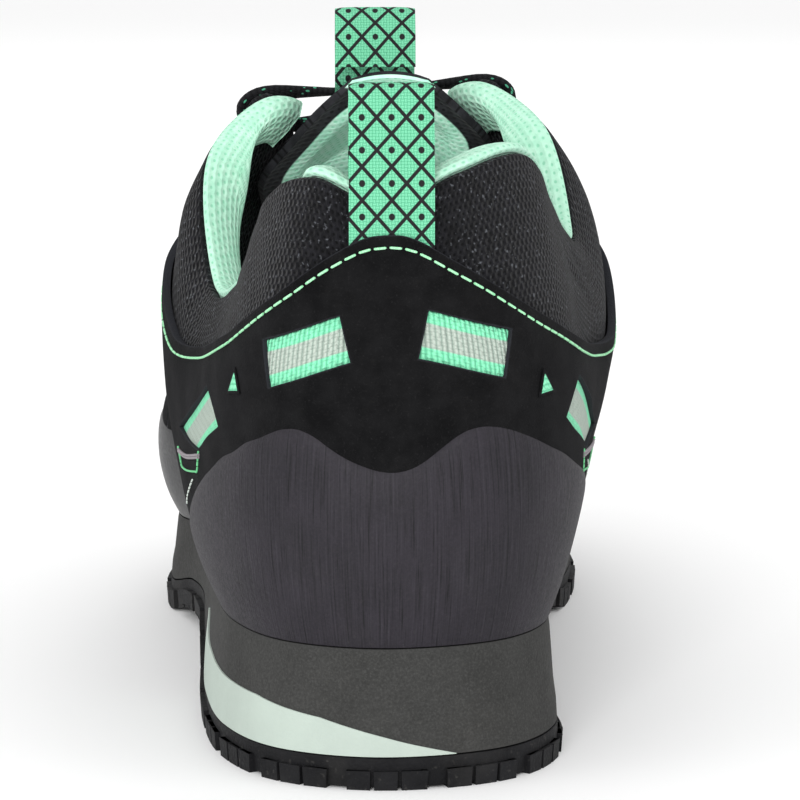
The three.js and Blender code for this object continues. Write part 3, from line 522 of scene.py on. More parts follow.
class Nodes:
    """Adds nodes to a tree and links them. A value is a number, a colour or another socket."""

    def __init__(self, tree):
        self.tree = tree

    def put(self, socket, value):
        if isinstance(value, bpy.types.NodeSocket):
            self.tree.links.new(value, socket)
        elif value is not None:
            socket.default_value = value

    def add(self, kind, inputs=None, **settings):
        node = self.tree.nodes.new(kind)
        for key, value in settings.items():
            setattr(node, key, value)
        for key, value in (inputs or {}).items():
            self.put(node.inputs[key], value)
        return node

    def math(self, operation, a, b=0.5, c=0.5):
        return self.add("ShaderNodeMath", {0: a, 1: b, 2: c}, operation=operation).outputs[0]

    def step(self, value, low, high, to_low=0.0, to_high=1.0):
        node = self.add("ShaderNodeMapRange", {0: value, 1: low, 2: high, 3: to_low, 4: to_high},
                        interpolation_type="SMOOTHSTEP")
        return node.outputs[0]

    def colour(self, factor, a, b, blend="MIX"):
        node = self.add("ShaderNodeMix", data_type="RGBA", blend_type=blend)
        self.put(node.inputs[0], factor)
        self.put(node.inputs[6], a)
        self.put(node.inputs[7], b)
        return node.outputs[2]

    def noise(self, vector, scale, detail=3, roughness=0.55):
        node = self.add("ShaderNodeTexNoise", {"Vector": vector, "Scale": scale, "Detail": detail,
                                               "Roughness": roughness})
        return node.outputs["Fac"]

    def place(self):
        return self.add("ShaderNodeTexCoord").outputs["Object"]

    def cloth(self):
        return self.add("ShaderNodeUVMap", uv_map="surface").outputs[0]

    def value(self, name):
        return self.add("ShaderNodeAttribute", attribute_name=name).outputs["Fac"]

    def bump(self, height, strength, distance):
        node = self.add("ShaderNodeBump", {"Strength": strength, "Distance": distance, "Height": height})
        return node.outputs[0]


def rgb(*values):
    """A colour from screen values of 0 to 255, as Blender's linear values."""
    channels = [v / 255 for v in values]
    return tuple(c / 12.92 if c <= 0.04045 else ((c + 0.055) / 1.055) ** 2.4 for c in channels) + (1.0,)


def effect(name, inputs, outputs, fill):
    """A node group. inputs are (name, kind, start value), outputs are (name, kind)."""
    tree = bpy.data.node_groups.new(name, "ShaderNodeTree")
    for label, kind, start in inputs:
        socket = tree.interface.new_socket(name=label, in_out="INPUT", socket_type=kind)
        if start is not None:
            socket.default_value = start
    for label, kind in outputs:
        tree.interface.new_socket(name=label, in_out="OUTPUT", socket_type=kind)
    nodes = Nodes(tree)
    entry = nodes.add("NodeGroupInput")
    leave = nodes.add("NodeGroupOutput")
    results = fill(nodes, entry.outputs)
    for label, value in results.items():
        tree.links.new(value, leave.inputs[label])
    return tree


def use(nodes, group, **inputs):
    node = nodes.add("ShaderNodeGroup")
    node.node_tree = group
    for key, value in inputs.items():
        nodes.put(node.inputs[key.replace("_", " ")], value)
    return node.outputs


FLOAT, COLOUR, VECTOR = "NodeSocketFloat", "NodeSocketColor", "NodeSocketVector"

# %% Shared effects: dust, cut-edge fuzz and net


def fill_dust(n, given):
    place = n.place()
    patches = n.step(n.noise(place, 55, 4, 0.6), 0.45, 0.75)
    specks = n.step(n.noise(place, 900, 2, 0.5), 0.62, 0.75)
    low = n.step(n.add("ShaderNodeSeparateXYZ", {0: place}).outputs[2], 0.0, 0.05, 1.0, 0.25)
    amount = n.math("MULTIPLY", n.math("ADD", n.math("MULTIPLY", patches, 0.6), specks), low)
    return {"Colour": n.colour(n.math("MULTIPLY", amount, given["Amount"]), given["Colour"], given["Dust colour"])}


dust = effect("dust", [("Colour", COLOUR, (0.1, 0.1, 0.1, 1)), ("Dust colour", COLOUR, rgb(170, 166, 158)),
                       ("Amount", FLOAT, 0.12)], [("Colour", COLOUR)], fill_dust)


def fill_fuzz(n, given):
    ragged = n.math("MULTIPLY", n.noise(n.place(), 1400, 3, 0.7), 1.4)
    width = n.math("MULTIPLY", given["Width"], ragged)
    near = n.math("SUBTRACT", 1.0, n.math("DIVIDE", n.value("edge"), width))
    mask = n.add("ShaderNodeClamp", {0: near}).outputs[0]
    return {"Colour": n.colour(mask, given["Colour"], given["Edge colour"]), "Mask": mask}


fuzz = effect("cut edge fuzz", [("Colour", COLOUR, (0.1, 0.1, 0.1, 1)), ("Edge colour", COLOUR, (0.2, 0.2, 0.2, 1)),
                                ("Width", FLOAT, 0.8)], [("Colour", COLOUR), ("Mask", FLOAT)], fill_fuzz)


def fill_net(n, given):
    stretch = n.add("ShaderNodeVectorMath", {0: given["Vector"], 1: given["Cells"]}, operation="MULTIPLY")
    wobble = n.add("ShaderNodeTexNoise", {"Vector": stretch.outputs[0], "Scale": 0.6, "Detail": 1.0})
    moved = n.add("ShaderNodeVectorMath", {0: wobble.outputs["Color"], 1: (0.35, 0.35, 0), 2: stretch.outputs[0]},
                  operation="MULTIPLY_ADD")
    split = n.add("ShaderNodeSeparateXYZ", {0: moved.outputs[0]}).outputs
    row = n.math("FLOOR", split[1])
    shift = n.math("MULTIPLY", n.math("MODULO", row, 2.0), 0.5)
    across = n.math("SUBTRACT", n.math("FRACT", n.math("ADD", split[0], shift)), 0.5)
    down = n.math("SUBTRACT", n.math("FRACT", split[1]), 0.5)
    far = n.math("SQRT", n.math("ADD", n.math("MULTIPLY", across, across), n.math("MULTIPLY", down, down)))
    hole = n.step(far, n.math("SUBTRACT", given["Hole"], 0.1), n.math("ADD", given["Hole"], 0.08), 1.0, 0.0)
    crown = n.step(far, given["Hole"], 0.65, 0.3, 1.0)
    return {"Hole": hole, "Height": n.math("MULTIPLY", crown, n.math("SUBTRACT", 1.0, hole))}


net = effect("knitted net", [("Vector", VECTOR, (0, 0, 0)), ("Cells", VECTOR, (700, 900, 1)), ("Hole", FLOAT, 0.25)],
             [("Hole", FLOAT), ("Height", FLOAT)], fill_net)


def fill_weave(n, given):
    scaled = n.add("ShaderNodeVectorMath", {0: given["Vector"], 1: given["Threads"]}, operation="MULTIPLY")
    split = n.add("ShaderNodeSeparateXYZ", {0: scaled.outputs[0]}).outputs
    warp = n.math("ABSOLUTE", n.math("SINE", n.math("MULTIPLY", split[0], math.pi)))
    weft = n.math("ABSOLUTE", n.math("SINE", n.math("MULTIPLY", split[1], math.pi)))
    over = n.math("MODULO", n.math("ADD", n.math("FLOOR", split[0]), n.math("FLOOR", split[1])), 2.0)
    height = n.add("ShaderNodeMix", {0: n.math("ABSOLUTE", over), 2: warp, 3: weft}, data_type="FLOAT").outputs[0]
    return {"Height": height, "Over": n.math("ABSOLUTE", over)}


weave = effect("plain weave", [("Vector", VECTOR, (0, 0, 0)), ("Threads", VECTOR, (1500, 1500, 1))],
               [("Height", FLOAT), ("Over", FLOAT)], fill_weave)
print("shared effects:", [g.name for g in bpy.data.node_groups])


# %% Suede
def suede_finish():
    material, tree, shader = node_material("black suede")
    n = Nodes(tree)
    place = n.place()
    nap = n.noise(place, 160, 4, 0.65)
    brushed = n.noise(place, 38, 3, 0.5)
    grain = n.noise(place, 2600, 3, 0.7)
    base = n.colour(n.step(nap, 0.3, 0.72), rgb(13, 13, 14), rgb(23, 23, 24))
    base = n.colour(n.step(brushed, 0.5, 0.75, 0.0, 0.2), base, rgb(36, 35, 36))
    base = n.colour(n.step(grain, 0.55, 0.8, 0.0, 0.4), base, rgb(56, 55, 56))
    cut = use(n, fuzz, Colour=base, Edge_colour=rgb(44, 45, 49), Width=0.5)
    dirty = use(n, dust, Colour=cut["Colour"], Amount=0.02)
    n.put(shader.inputs["Base Color"], dirty["Colour"])
    shader.inputs["Roughness"].default_value = 0.93
    shader.inputs["Specular IOR Level"].default_value = 0.06
    shader.inputs["Sheen Weight"].default_value = 0.08
    shader.inputs["Sheen Roughness"].default_value = 0.45
    shader.inputs["Sheen Tint"].default_value = rgb(120, 120, 125)
    height = n.math("ADD", n.math("MULTIPLY", grain, 0.8), n.math("MULTIPLY", nap, 0.6))
    n.put(shader.inputs["Normal"], n.bump(height, 0.7, 0.0006))
    return material


suede_material = suede_finish()


# %% Knitted mesh, padded lining mesh and woven reinforcement
def mesh_finish(name, thread, hole_colour, cells, hole, fleck=None, sheen=0.06, depth=0.0005, gloss=0.1):
    material, tree, shader = node_material(name)
    n = Nodes(tree)
    cloth = n.cloth()
    pattern = use(n, net, Vector=cloth, Cells=cells, Hole=hole)
    tone = n.step(n.noise(n.place(), 420, 3, 0.6), 0.3, 0.75)
    base = n.colour(tone, thread[0], thread[1])
    if fleck:
        base = n.colour(n.step(n.noise(n.place(), 1300, 2, 0.5), 0.6, 0.72, 0.0, 0.8), base, fleck)
    base = n.colour(pattern["Hole"], base, hole_colour)
    n.put(shader.inputs["Base Color"], base)
    shader.inputs["Roughness"].default_value = 0.8
    shader.inputs["Specular IOR Level"].default_value = gloss
    shader.inputs["Sheen Weight"].default_value = sheen
    n.put(shader.inputs["Normal"], n.bump(pattern["Height"], 0.8, depth))
    return material


knit_material = mesh_finish("black knit", (rgb(15, 15, 17), rgb(28, 28, 32)), rgb(5, 5, 7), (620, 760, 1), 0.24,
                            fleck=rgb(92, 95, 100))
lining_material = mesh_finish("mint lining", (rgb(172, 226, 199), rgb(194, 237, 214)), rgb(144, 207, 176),
                              (520, 600, 1), 0.2, sheen=0.1, depth=0.00035, gloss=0.2)


def woven_finish(name, threads, low, high, roughness=0.8, fleck=None):
    material, tree, shader = node_material(name)
    n = Nodes(tree)
    cloth = n.cloth()
    pattern = use(n, weave, Vector=cloth, Threads=threads)
    base = n.colour(pattern["Height"], low, high)
    if fleck:
        dots = n.add("ShaderNodeTexVoronoi", {"Vector": cloth, "Scale": 420.0})
        base = n.colour(n.step(dots.outputs["Distance"], 0.16, 0.22, 0.9, 0.0), base, fleck)
    n.put(shader.inputs["Base Color"], use(n, dust, Colour=base, Amount=0.03)["Colour"])
    shader.inputs["Roughness"].default_value = roughness
    shader.inputs["Specular IOR Level"].default_value = 0.15
    n.put(shader.inputs["Normal"], n.bump(pattern["Height"], 0.7, 0.0004))
    return material


eyestay_material = woven_finish("black reinforcement", (1300, 1300, 1), rgb(13, 13, 15), rgb(33, 33, 36))
lace_material = woven_finish("black lace", (2200, 900, 1), rgb(14, 14, 16), rgb(36, 36, 39), fleck=rgb(96, 200, 158))
insole_material = woven_finish("insole cloth", (900, 900, 1), rgb(22, 24, 24), rgb(52, 56, 55), 0.9)


# %% Rubber and foam
def rubber_finish(name, dark, light, roughness, grain, depth, streak=0.0, coat=0.0, dust_amount=0.03, speckle=0.0,
                  gloss=0.25):
    material, tree, shader = node_material(name)
    n = Nodes(tree)
    place = n.place()
    tone = n.noise(place, 70, 4, 0.6)
    skin = n.noise(place, grain, 3, 0.6)
    height = skin
    base = n.colour(n.step(tone, 0.3, 0.7), dark, light)
    if speckle:
        fine_grain = n.noise(place, 2100, 2, 0.7)
        base = n.colour(n.step(fine_grain, 0.46, 0.7, 0.0, speckle), base, tuple(2.1 * c for c in light[:3]) + (1,))
        base = n.colour(n.step(fine_grain, 0.3, 0.46, speckle, 0.0), base, tuple(0.4 * c for c in dark[:3]) + (1,))
    if streak:
        lines = n.add("ShaderNodeVectorMath", {0: n.cloth(), 1: (2600, 55, 1)}, operation="MULTIPLY")
        fine = n.noise(lines.outputs[0], 1.0, 3, 0.65)
        height = n.math("ADD", n.math("MULTIPLY", skin, 0.4), fine)
        base = n.colour(n.step(fine, 0.5, 0.78, 0.0, streak), base, rgb(60, 57, 64))
        base = n.colour(n.step(fine, 0.32, 0.47, streak * 1.9, 0.0), base, rgb(15, 14, 17))
    # Lighter near the cut edges, made ragged by the tone noise.
    edge = n.step(n.math("ADD", n.value("edge"), n.math("MULTIPLY", tone, 0.8)), 0.5, 1.3, 0.35, 0.0)
    base = n.colour(edge, base, light)
    n.put(shader.inputs["Base Color"], use(n, dust, Colour=base, Amount=dust_amount)["Colour"])
    n.put(shader.inputs["Roughness"], n.step(skin, 0.2, 0.8, roughness - 0.08, roughness + 0.08))
    shader.inputs["Specular IOR Level"].default_value = gloss
    shader.inputs["Coat Weight"].default_value = coat
    shader.inputs["Coat Roughness"].default_value = 0.3
    n.put(shader.inputs["Normal"], n.bump(height, 0.5, depth))
    return material


outsole_material = rubber_finish("black rubber", rgb(15, 15, 17), rgb(27, 27, 29), 0.7, 1500, 0.0004, dust_amount=0.05,
                                 gloss=0.15)
midsole_material = rubber_finish("olive-grey foam", rgb(48, 48, 47), rgb(55, 55, 54), 0.8, 1100, 0.0003, speckle=0.3, gloss=0.15)
wedge_material = rubber_finish("pale foam", rgb(166, 177, 169), rgb(175, 187, 178), 0.75, 1100, 0.0002)
counter_material = rubber_finish("streaked grey rubber", rgb(32, 30, 35), rgb(39, 36, 42), 0.6, 1300, 0.0003, streak=0.45,
                                 speckle=0.18, gloss=0.2)
rand_material = rubber_finish("smooth grey rubber", rgb(20, 20, 22), rgb(28, 28, 31), 0.42, 1500, 0.0001, coat=0.12, gloss=0.2)


# %% Webbing of the straps and the pull loops
def strap_finish():
    material, tree, shader = node_material("strap webbing")
    n = Nodes(tree)
    cloth = n.cloth()
    pattern = use(n, weave, Vector=cloth, Threads=(700, 1300, 1))
    ribs = n.math("ABSOLUTE", n.math("SINE", n.math("MULTIPLY", n.add("ShaderNodeSeparateXYZ", {0: cloth}).outputs[0], 2900.0)))
    middle = n.colour(ribs, rgb(136, 155, 143), rgb(180, 192, 181))
    side = n.colour(ribs, rgb(94, 196, 150), rgb(138, 232, 186))
    base = n.colour(n.step(n.value("edge"), 2.1, 2.5), side, middle)
    n.put(shader.inputs["Base Color"], base)
    shader.inputs["Roughness"].default_value = 0.8
    n.put(shader.inputs["Normal"], n.bump(n.math("ADD", ribs, pattern["Height"]), 0.7, 0.0004))
    return material


strap_material = strap_finish()


def loop_finish():
    """Mint webbing with a plain dark diamond lattice and a dot in every other diamond."""
    material, tree, shader = node_material("pull loop webbing")
    n = Nodes(tree)
    cloth = n.cloth()
    fine = use(n, weave, Vector=cloth, Threads=(1700, 1700, 1))
    split = n.add("ShaderNodeSeparateXYZ", {0: cloth}).outputs
    across, along = n.math("MULTIPLY", split[0], 1 / 0.0055), n.math("MULTIPLY", split[1], 1 / 0.0062)
    cells = [n.math("ADD", across, along), n.math("SUBTRACT", across, along)]
    near = [n.math("ABSOLUTE", n.math("SUBTRACT", n.math("FRACT", c), 0.5)) for c in cells]
    lines = n.math("MAXIMUM", *[n.step(d, 0.07, 0.095, 1.0, 0.0) for d in near])
    off = [n.math("SUBTRACT", 0.5, d) for d in near]
    far = n.math("SQRT", n.math("ADD", n.math("MULTIPLY", off[0], off[0]), n.math("MULTIPLY", off[1], off[1])))
    count = n.math("ADD", *[n.math("FLOOR", n.math("ADD", c, 0.5)) for c in cells])
    every_other = n.math("LESS_THAN", n.math("ABSOLUTE", n.math("MODULO", count, 2.0)), 0.5)
    dots = n.math("MULTIPLY", n.step(far, 0.13, 0.17, 1.0, 0.0), every_other)
    base = n.colour(n.step(fine["Height"], 0.1, 0.9), rgb(82, 172, 130), rgb(116, 200, 160))
    base = n.colour(n.math("MAXIMUM", lines, dots), base, rgb(30, 29, 31))
    rim = n.math("MULTIPLY", n.step(n.value("side"), 0.02, 0.06), n.step(n.value("side"), 0.94, 0.98, 1.0, 0.0))
    base = n.colour(rim, base, rgb(26, 28, 28))
    n.put(shader.inputs["Base Color"], base)
    shader.inputs["Roughness"].default_value = 0.75
    shader.inputs["Specular IOR Level"].default_value = 0.2
    n.put(shader.inputs["Normal"], n.bump(fine["Height"], 0.6, 0.0003))
    return material


loop_material = loop_finish()


# %% Threads and eyelets
def plain_finish(name, dark, light, roughness, metallic=0.0, scale=900):
    material, tree, shader = node_material(name)
    n = Nodes(tree)
    tone = n.noise(n.place(), scale, 3, 0.6)
    n.put(shader.inputs["Base Color"], n.colour(n.step(tone, 0.3, 0.7), dark, light))
    shader.inputs["Roughness"].default_value = roughness
    shader.inputs["Metallic"].default_value = metallic
    shader.inputs["Specular IOR Level"].default_value = 0.15
    n.put(shader.inputs["Normal"], n.bump(tone, 0.3, 0.0002))
    return material


mint_thread = plain_finish("mint thread", rgb(124, 208, 150), rgb(186, 236, 198), 0.6, scale=4000)
pale_thread = plain_finish("pale thread", rgb(196, 206, 198), rgb(228, 236, 230), 0.6, scale=4000)
dark_thread = plain_finish("dark thread", rgb(24, 24, 26), rgb(48, 48, 50), 0.6, scale=4000)
eyelet_material = plain_finish("satin black metal", rgb(28, 28, 30), rgb(44, 44, 46), 0.35, metallic=0.7)
print("materials:", len(bpy.data.materials))

# %% [markdown]
# ## Knitted upper
# The whole foot is wrapped in one padded knit. It shows as the dark panel above the suede, and
# it is the wall that all overlays are sewn to. One patch runs right round the shoe.

# %% Knitted upper
def soft_waves(stations, t, points):
    """Low, uneven swelling of a soft wall, in millimetres."""
    x, y, z = points[..., 0], points[..., 1], points[..., 2]
    wave = np.sin(x * 0.21 + z * 0.13) * np.sin(y * 0.09 - z * 0.17) + 0.6 * np.sin(x * 0.37 - y * 0.31 + z * 0.29)
    return 0.16 * wave * smooth(t / 0.2)


STATION_RUN, SHARE_RUN = 24, 90
ANKLE_CREASES = (((2.5, 0.77), (3.9, 0.8), 2.0, 0.6), ((2.6, 0.84), (3.9, 0.86), 2.0, 0.5),
                 ((2.9, 0.91), (4.2, 0.9), 2.2, 0.4), ((-2.4, 0.92), (-3.6, 0.79), 2.0, 0.5),
                 ((-2.9, 0.95), (-4.1, 0.83), 2.2, 0.5))
FLEX_CREASES = (((8.2, 0.35), (8.6, 0.85), 2.4, 0.5), ((9.1, 0.35), (9.4, 0.85), 2.4, 0.4),
                ((-8.2, 0.35), (-8.6, 0.85), 2.4, 0.5), ((-9.1, 0.35), (-9.4, 0.85), 2.4, 0.4))


def creased(creases):
    """Soft waves with creases pressed in: each from one point to another, half width, depth in mm."""
    def lift(stations, t, points):
        s = (stations + ROUND / 2) % ROUND - ROUND / 2
        flat = np.stack([s * STATION_RUN, t * SHARE_RUN], -1)
        total = soft_waves(stations, t, points)
        for a, b, width, depth in creases:
            a, b = np.array(a) * (STATION_RUN, SHARE_RUN), np.array(b) * (STATION_RUN, SHARE_RUN)
            along = np.clip(((flat - a) @ (b - a)) / ((b - a) @ (b - a)), 0, 1)
            away = np.linalg.norm(flat - a - along[..., None] * (b - a), axis=-1)
            total = total - depth * np.exp(-(away / width) ** 2) * np.sin(np.pi * along)
        return total
    return lift


round_shoe = np.linspace(0, ROUND, 313)[:-1]
wall_rows = np.tile(np.linspace(0, 1, 64), (len(round_shoe), 1))
knit = patch("knit_upper", round_shoe, wall_rows, 0, WALL, knit_material, wrap=True, bevel=0.7,
             lift=creased(ANKLE_CREASES))
finish_piece(knit, ["upper"])

# %% [markdown]
# ## Suede quarter with its windows
# One piece of suede wraps the heel and both sides. Two windows a side show the strap that runs
# beneath it. A Boolean could cut them, but it leaves ragged shading on a curved sheet, so the
# grid's rows follow the strap's edges and the faces of each window are simply left out.

# %% Suede quarter
def rows_between(knots, counts):
    """Rows of shares through several knots: knots has shape (columns, knots)."""
    parts = [knots[:, i:i + 1] + (knots[:, i + 1:i + 2] - knots[:, i:i + 1]) * np.linspace(0, 1, n + 1)[None, :-1]
             for i, n in enumerate(counts)]
    return np.concatenate(parts + [knots[:, -1:]], 1)


def quarter_low(s):
    away = np.abs(s)
    low = np.where(away < 4.6, counter_top(s), np.where(away > 6.1, rand_top(s), 0.0))
    return np.maximum(0.0, low - 0.025)


def quarter_high(s):
    high = suede_top(s)
    return np.where(np.abs(s) > 5.75, np.minimum(high, eyestay_low(s) + 0.02), high)


WINDOWS_BY_SIDE = {1: ((0.41, 1.19), (2.2, 2.9)), -1: ((0.37, 1.12), (1.95, 2.75))}
window_edges = [sign * edge for sign, pairs in WINDOWS_BY_SIDE.items() for pair in pairs for edge in pair]
quarter_s = spread(-7.7, 7.7, 340, *window_edges)
away = np.abs(quarter_s)
slant = np.sign(quarter_s) * np.interp(away, (0, 0.3, 1.3, 2.2, 2.9, 3.6, 4.4), (0, 0.13, 0.13, 0.4, 0.8, 0.6, 0))
shear = np.stack([0 * slant, -0.5 * slant, -0.5 * slant, 0.5 * slant, 0.5 * slant, 0 * slant], 1)
knot_s = quarter_s[:, None] + shear
edge_pairs = [strap_edges(knot_s[:, k]) for k in range(6)]
knots = np.stack([quarter_low(quarter_s), edge_pairs[1][0] - 0.012, edge_pairs[2][0], edge_pairs[3][1],
                  edge_pairs[4][1] + 0.012, quarter_high(quarter_s)], 1)
low, high = knots[:, 0], knots[:, 5]
even = low[:, None] + (high - low)[:, None] * np.array([0, 0.3, 0.33, 0.6, 0.63, 1])[None, :]
knots = mix(knots, even, smooth((away - 3.5) / 0.9)[:, None])
quarter_counts = (14, 2, 8, 2, 16)
quarter_t = rows_between(knots, quarter_counts)
quarter_stations = rows_between(knot_s, quarter_counts)
strap_rows = (sum(quarter_counts[:2]), sum(quarter_counts[:3]))


def in_window(column, row):
    s = np.interp(column, np.arange(len(quarter_s)), quarter_s)
    inside = np.zeros(len(s), bool)
    for sign, pairs in WINDOWS_BY_SIDE.items():
        for start, end in pairs:
            inside |= (s * sign > start) & (s * sign < end)
    return inside & (row > strap_rows[0]) & (row < strap_rows[1])


quarter = patch("suede_panel", quarter_stations, quarter_t, GAP + SUEDE, SUEDE, suede_material, hole=in_window,
                bevel=0.5, lift=soft_waves)
finish_piece(quarter, ["suede_quarter"])

# %% Suede vamp
vamp_s = np.linspace(7.7, ROUND - 7.7, 200)
vamp_low, vamp_high = np.maximum(0, rand_top(vamp_s) - 0.03), eyestay_low(vamp_s) + 0.02
vamp_t = rows_between(np.stack([vamp_low, vamp_high], 1), (26,))
vamp = patch("suede_front", vamp_s + 0, vamp_t, GAP + SUEDE, SUEDE, suede_material, lift=creased(FLEX_CREASES))
finish_piece(vamp, ["suede_vamp"])

# %% [markdown]
# ## Straps under the suede
# A woven strap on each side runs from the heel down towards the arch. It is a thin patch with
# ribs across it and brighter edges, and it lies just under the suede.

# %% Straps
for side, node in ((1, "strap_lateral"), (-1, "strap_medial")):
    strap_s = np.linspace(0.2, 3.7, 90)
    strap_s = strap_s if side > 0 else -strap_s[::-1]
    from_t, to_t = strap_edges(strap_s)
    strap_t = rows_between(np.stack([from_t, to_t], 1), (8,))
    crown = 0.12 * np.sin(np.linspace(0, math.pi, 9))[None, :]
    strap = patch(node + "_webbing", strap_s, strap_t, GAP + 0.8 + crown, 0.8, strap_material, bevel=0.2)
    finish_piece(strap, [node])

# %% [markdown]
# ## Rubber heel counter and toe rand
# Both are moulded skins glued over the suede's foot. They thin out towards their free edge.

# %% Heel counter and rand
def thinning(s, t, top, full):
    """Offset of a moulded skin: full thickness, thinner by its free edge."""
    length = np.linalg.norm(surface(s, top) - surface(s, 0 * top), axis=-1)
    down = (top[:, None] - t) / np.maximum(top[:, None], 1e-3) * length[:, None]
    return full - 0.9 * np.exp(-down / 1.3)


counter_s = np.linspace(-4.6, 4.6, 240)
counter_high = counter_top(counter_s)
counter_t = rows_between(np.stack([0 * counter_high, counter_high * 0.96, counter_high], 1), (24, 4))
counter = patch("heel_counter_skin", counter_s, counter_t, thinning(counter_s, counter_t, counter_high, COUNTER),
                COUNTER - GAP - 0.9, counter_material, bevel=0.4)
finish_piece(counter, ["heel_counter"])

rand_s = np.linspace(6.1, ROUND - 6.1, 260)
rand_high = rand_top(rand_s)
rand_t = rows_between(np.stack([0 * rand_high, rand_high * 0.95, rand_high], 1), (16, 4))
rand_skin = patch("toe_rand_skin", rand_s, rand_t, thinning(rand_s, rand_t, rand_high, RAND + GAP),
                  RAND - 0.9, rand_material, bevel=0.4)
finish_piece(rand_skin, ["toe_rand"])

# %% Eyestay
stay_s = np.linspace(5.75, ROUND - 5.75, 220)
stay_t = rows_between(np.stack([eyestay_low(stay_s), np.ones(len(stay_s))], 1), (12,))
stay = patch("eyestay_band", stay_s, stay_t, GAP + SUEDE + 0.05, SUEDE, eyestay_material, bevel=0.5)
finish_piece(stay, ["eyestay"])

# %% [markdown]
# ## Slabs: pieces with a front and a back
# The tongue, the loops and the insole are sheets with a real thickness. Two grids of points, one
# for each face, are joined round their rim.

# %% A slab from two grids
def refine(grid, steps, axis):
    """A smooth curve through the points along one axis, open at both ends."""
    grid = np.moveaxis(grid, axis, 0)
    padded_grid = np.concatenate([2 * grid[:1] - grid[1:2], grid, 2 * grid[-1:] - grid[-2:-1]])
    out = []
    for i in range(len(grid) - 1):
        a, b, c, d = padded_grid[i:i + 4]
        for f in np.arange(steps) / steps:
            out.append(b + 0.5 * f * (c - a + f * (2 * a - 5 * b + 4 * c - d + f * (3 * (b - c) + d - a))))
    out.append(grid[-1])
    return np.moveaxis(np.array(out), 0, axis)


def grid_normals(grid):
    return unit(np.cross(np.gradient(grid, axis=0), np.gradient(grid, axis=1)))


def slab(name, front, back, material, sharp=60):
    """front and back have shape (rows, columns, 3). The front's normal is rows cross columns."""
    rows, columns = front.shape[:2]
    index = np.arange(rows * columns).reshape(rows, columns)
    other = index + rows * columns
    r, c = np.meshgrid(np.arange(rows - 1), np.arange(columns - 1), indexing="ij")
    quads = [np.stack([index[r, c], index[r + 1, c], index[r + 1, c + 1], index[r, c + 1]], -1).reshape(-1, 4),
             np.stack([other[r, c], other[r, c + 1], other[r + 1, c + 1], other[r + 1, c]], -1).reshape(-1, 4)]
    loop = np.concatenate([index[0, :-1], index[:-1, -1], index[-1, :0:-1], index[:0:-1, 0]])
    after = np.roll(loop, -1)
    shift = rows * columns
    quads.append(np.stack([loop, after, after + shift, loop + shift], -1))
    faces = np.concatenate(quads)
    u = run_lengths(front, 1)
    u = u - u[:, -1:] / 2
    v = np.repeat(run_lengths(front, 0).mean(1, keepdims=True), columns, 1)
    uv = np.concatenate([np.stack([u, v], -1).reshape(-1, 2)] * 2)
    rim = np.concatenate([front[0], front[-1], front[:, 0], front[:, -1]])
    flat = front.reshape(-1, 3)
    edge = np.tile(distance_to(flat, rim), 2)
    side = np.repeat([0.0, 1.0], rows * columns)
    points = np.concatenate([flat, back.reshape(-1, 3)])
    return build(name, points, faces, material, uv[faces], {"edge": edge, "side": side}, sharp)


# %% [markdown]
# ## Tongue
# The tongue lies under the throat's edges and stands free at the top. Its inner face, which the
# photograph shows, is mint mesh inside a dark binding a few millimetres wide.

# %% Tongue's points
TONGUE_OFF = WALL + 3 * GAP
TONGUE_TOP = ((1, 8, 1.5, 0), (0.65, 15, 6, 0), (-0.2, 21, 9, 0), (-1.2, 24, 11, 1.5))


def tongue_side(s):
    low_point, high_point = (layer(s, t, -TONGUE_OFF) for t in (0.86, 1.0))
    return [low_point, (low_point + high_point) / 2, high_point]


def tongue_row(s):
    left, right = tongue_side(s), tongue_side(ROUND - s)[::-1]
    crown = (left[2] + right[0]) / 2
    crown[2] += TONGUE_OFF * 0.5
    return left + [crown] + right


def tongue_free_row(share, half_width, sag, drop):
    base = (surface(TOP_CORNER, 1) + surface(ROUND - TOP_CORNER, 1)) / 2
    base[0] += 3 * smooth(share + 1.2)
    return [base + np.array([a * half_width, -share * 9 - a * a * sag * 0.6, share * 5 - drop - a * a * sag])
            for a in (-1, -0.7, -0.36, 0, 0.36, 0.7, 1)]


throat_foot = [layer(s, t, -TONGUE_OFF - GAP) for s, t in
               ((10, 0.86), (10, 1), (11.5, 1), (13, 1), (14.5, 1), (16, 1), (16, 0.86))]
vamp_end = [layer(13 + k, share_below_edge(13 + k, 14)[0], -TONGUE_OFF - 1) for k in range(-3, 4)]
tongue_grid = np.array([tongue_free_row(*row) for row in TONGUE_TOP] + [tongue_row(s) for s in (7, 8, 9)]
                       + [throat_foot, vamp_end])
fine = refine(refine(tongue_grid, 8, 0), 8, 1)
print("tongue grid", fine.shape)

# %% Tongue


def tongue_finish():
    material, tree, shader = node_material("tongue cloth with painted light")
    n = Nodes(tree)
    cloth = n.cloth()
    pattern = use(n, net, Vector=cloth, Cells=(560, 640, 1), Hole=0.22)
    tone = n.step(n.noise(n.place(), 300, 3, 0.6), 0.3, 0.7)
    # Painted light: this mint is lighter than the lining's mint, to offset the shade on the tongue's inner face inside
    # the shoe.
    mint = n.colour(pattern["Hole"], n.colour(tone, rgb(188, 250, 222), rgb(212, 255, 234)), rgb(158, 234, 198))
    dark = n.colour(pattern["Hole"], n.colour(tone, rgb(24, 24, 27), rgb(44, 44, 48)), rgb(9, 9, 11))
    height = n.add("ShaderNodeSeparateXYZ", {0: n.place()}).outputs[2]
    border = n.step(height, 0.1195, 0.1235, 3.6, -0.3)
    free = n.step(n.math("SUBTRACT", n.value("edge"), border), -0.2, 0.2)
    inside = n.math("MULTIPLY", free, n.step(n.value("side"), 0.45, 0.55))
    n.put(shader.inputs["Base Color"], n.colour(inside, dark, mint))
    shader.inputs["Roughness"].default_value = 0.85
    shader.inputs["Specular IOR Level"].default_value = 0.15
    shader.inputs["Sheen Weight"].default_value = 0.08
    n.put(shader.inputs["Normal"], n.bump(pattern["Height"], 0.5, 0.0002))
    return material


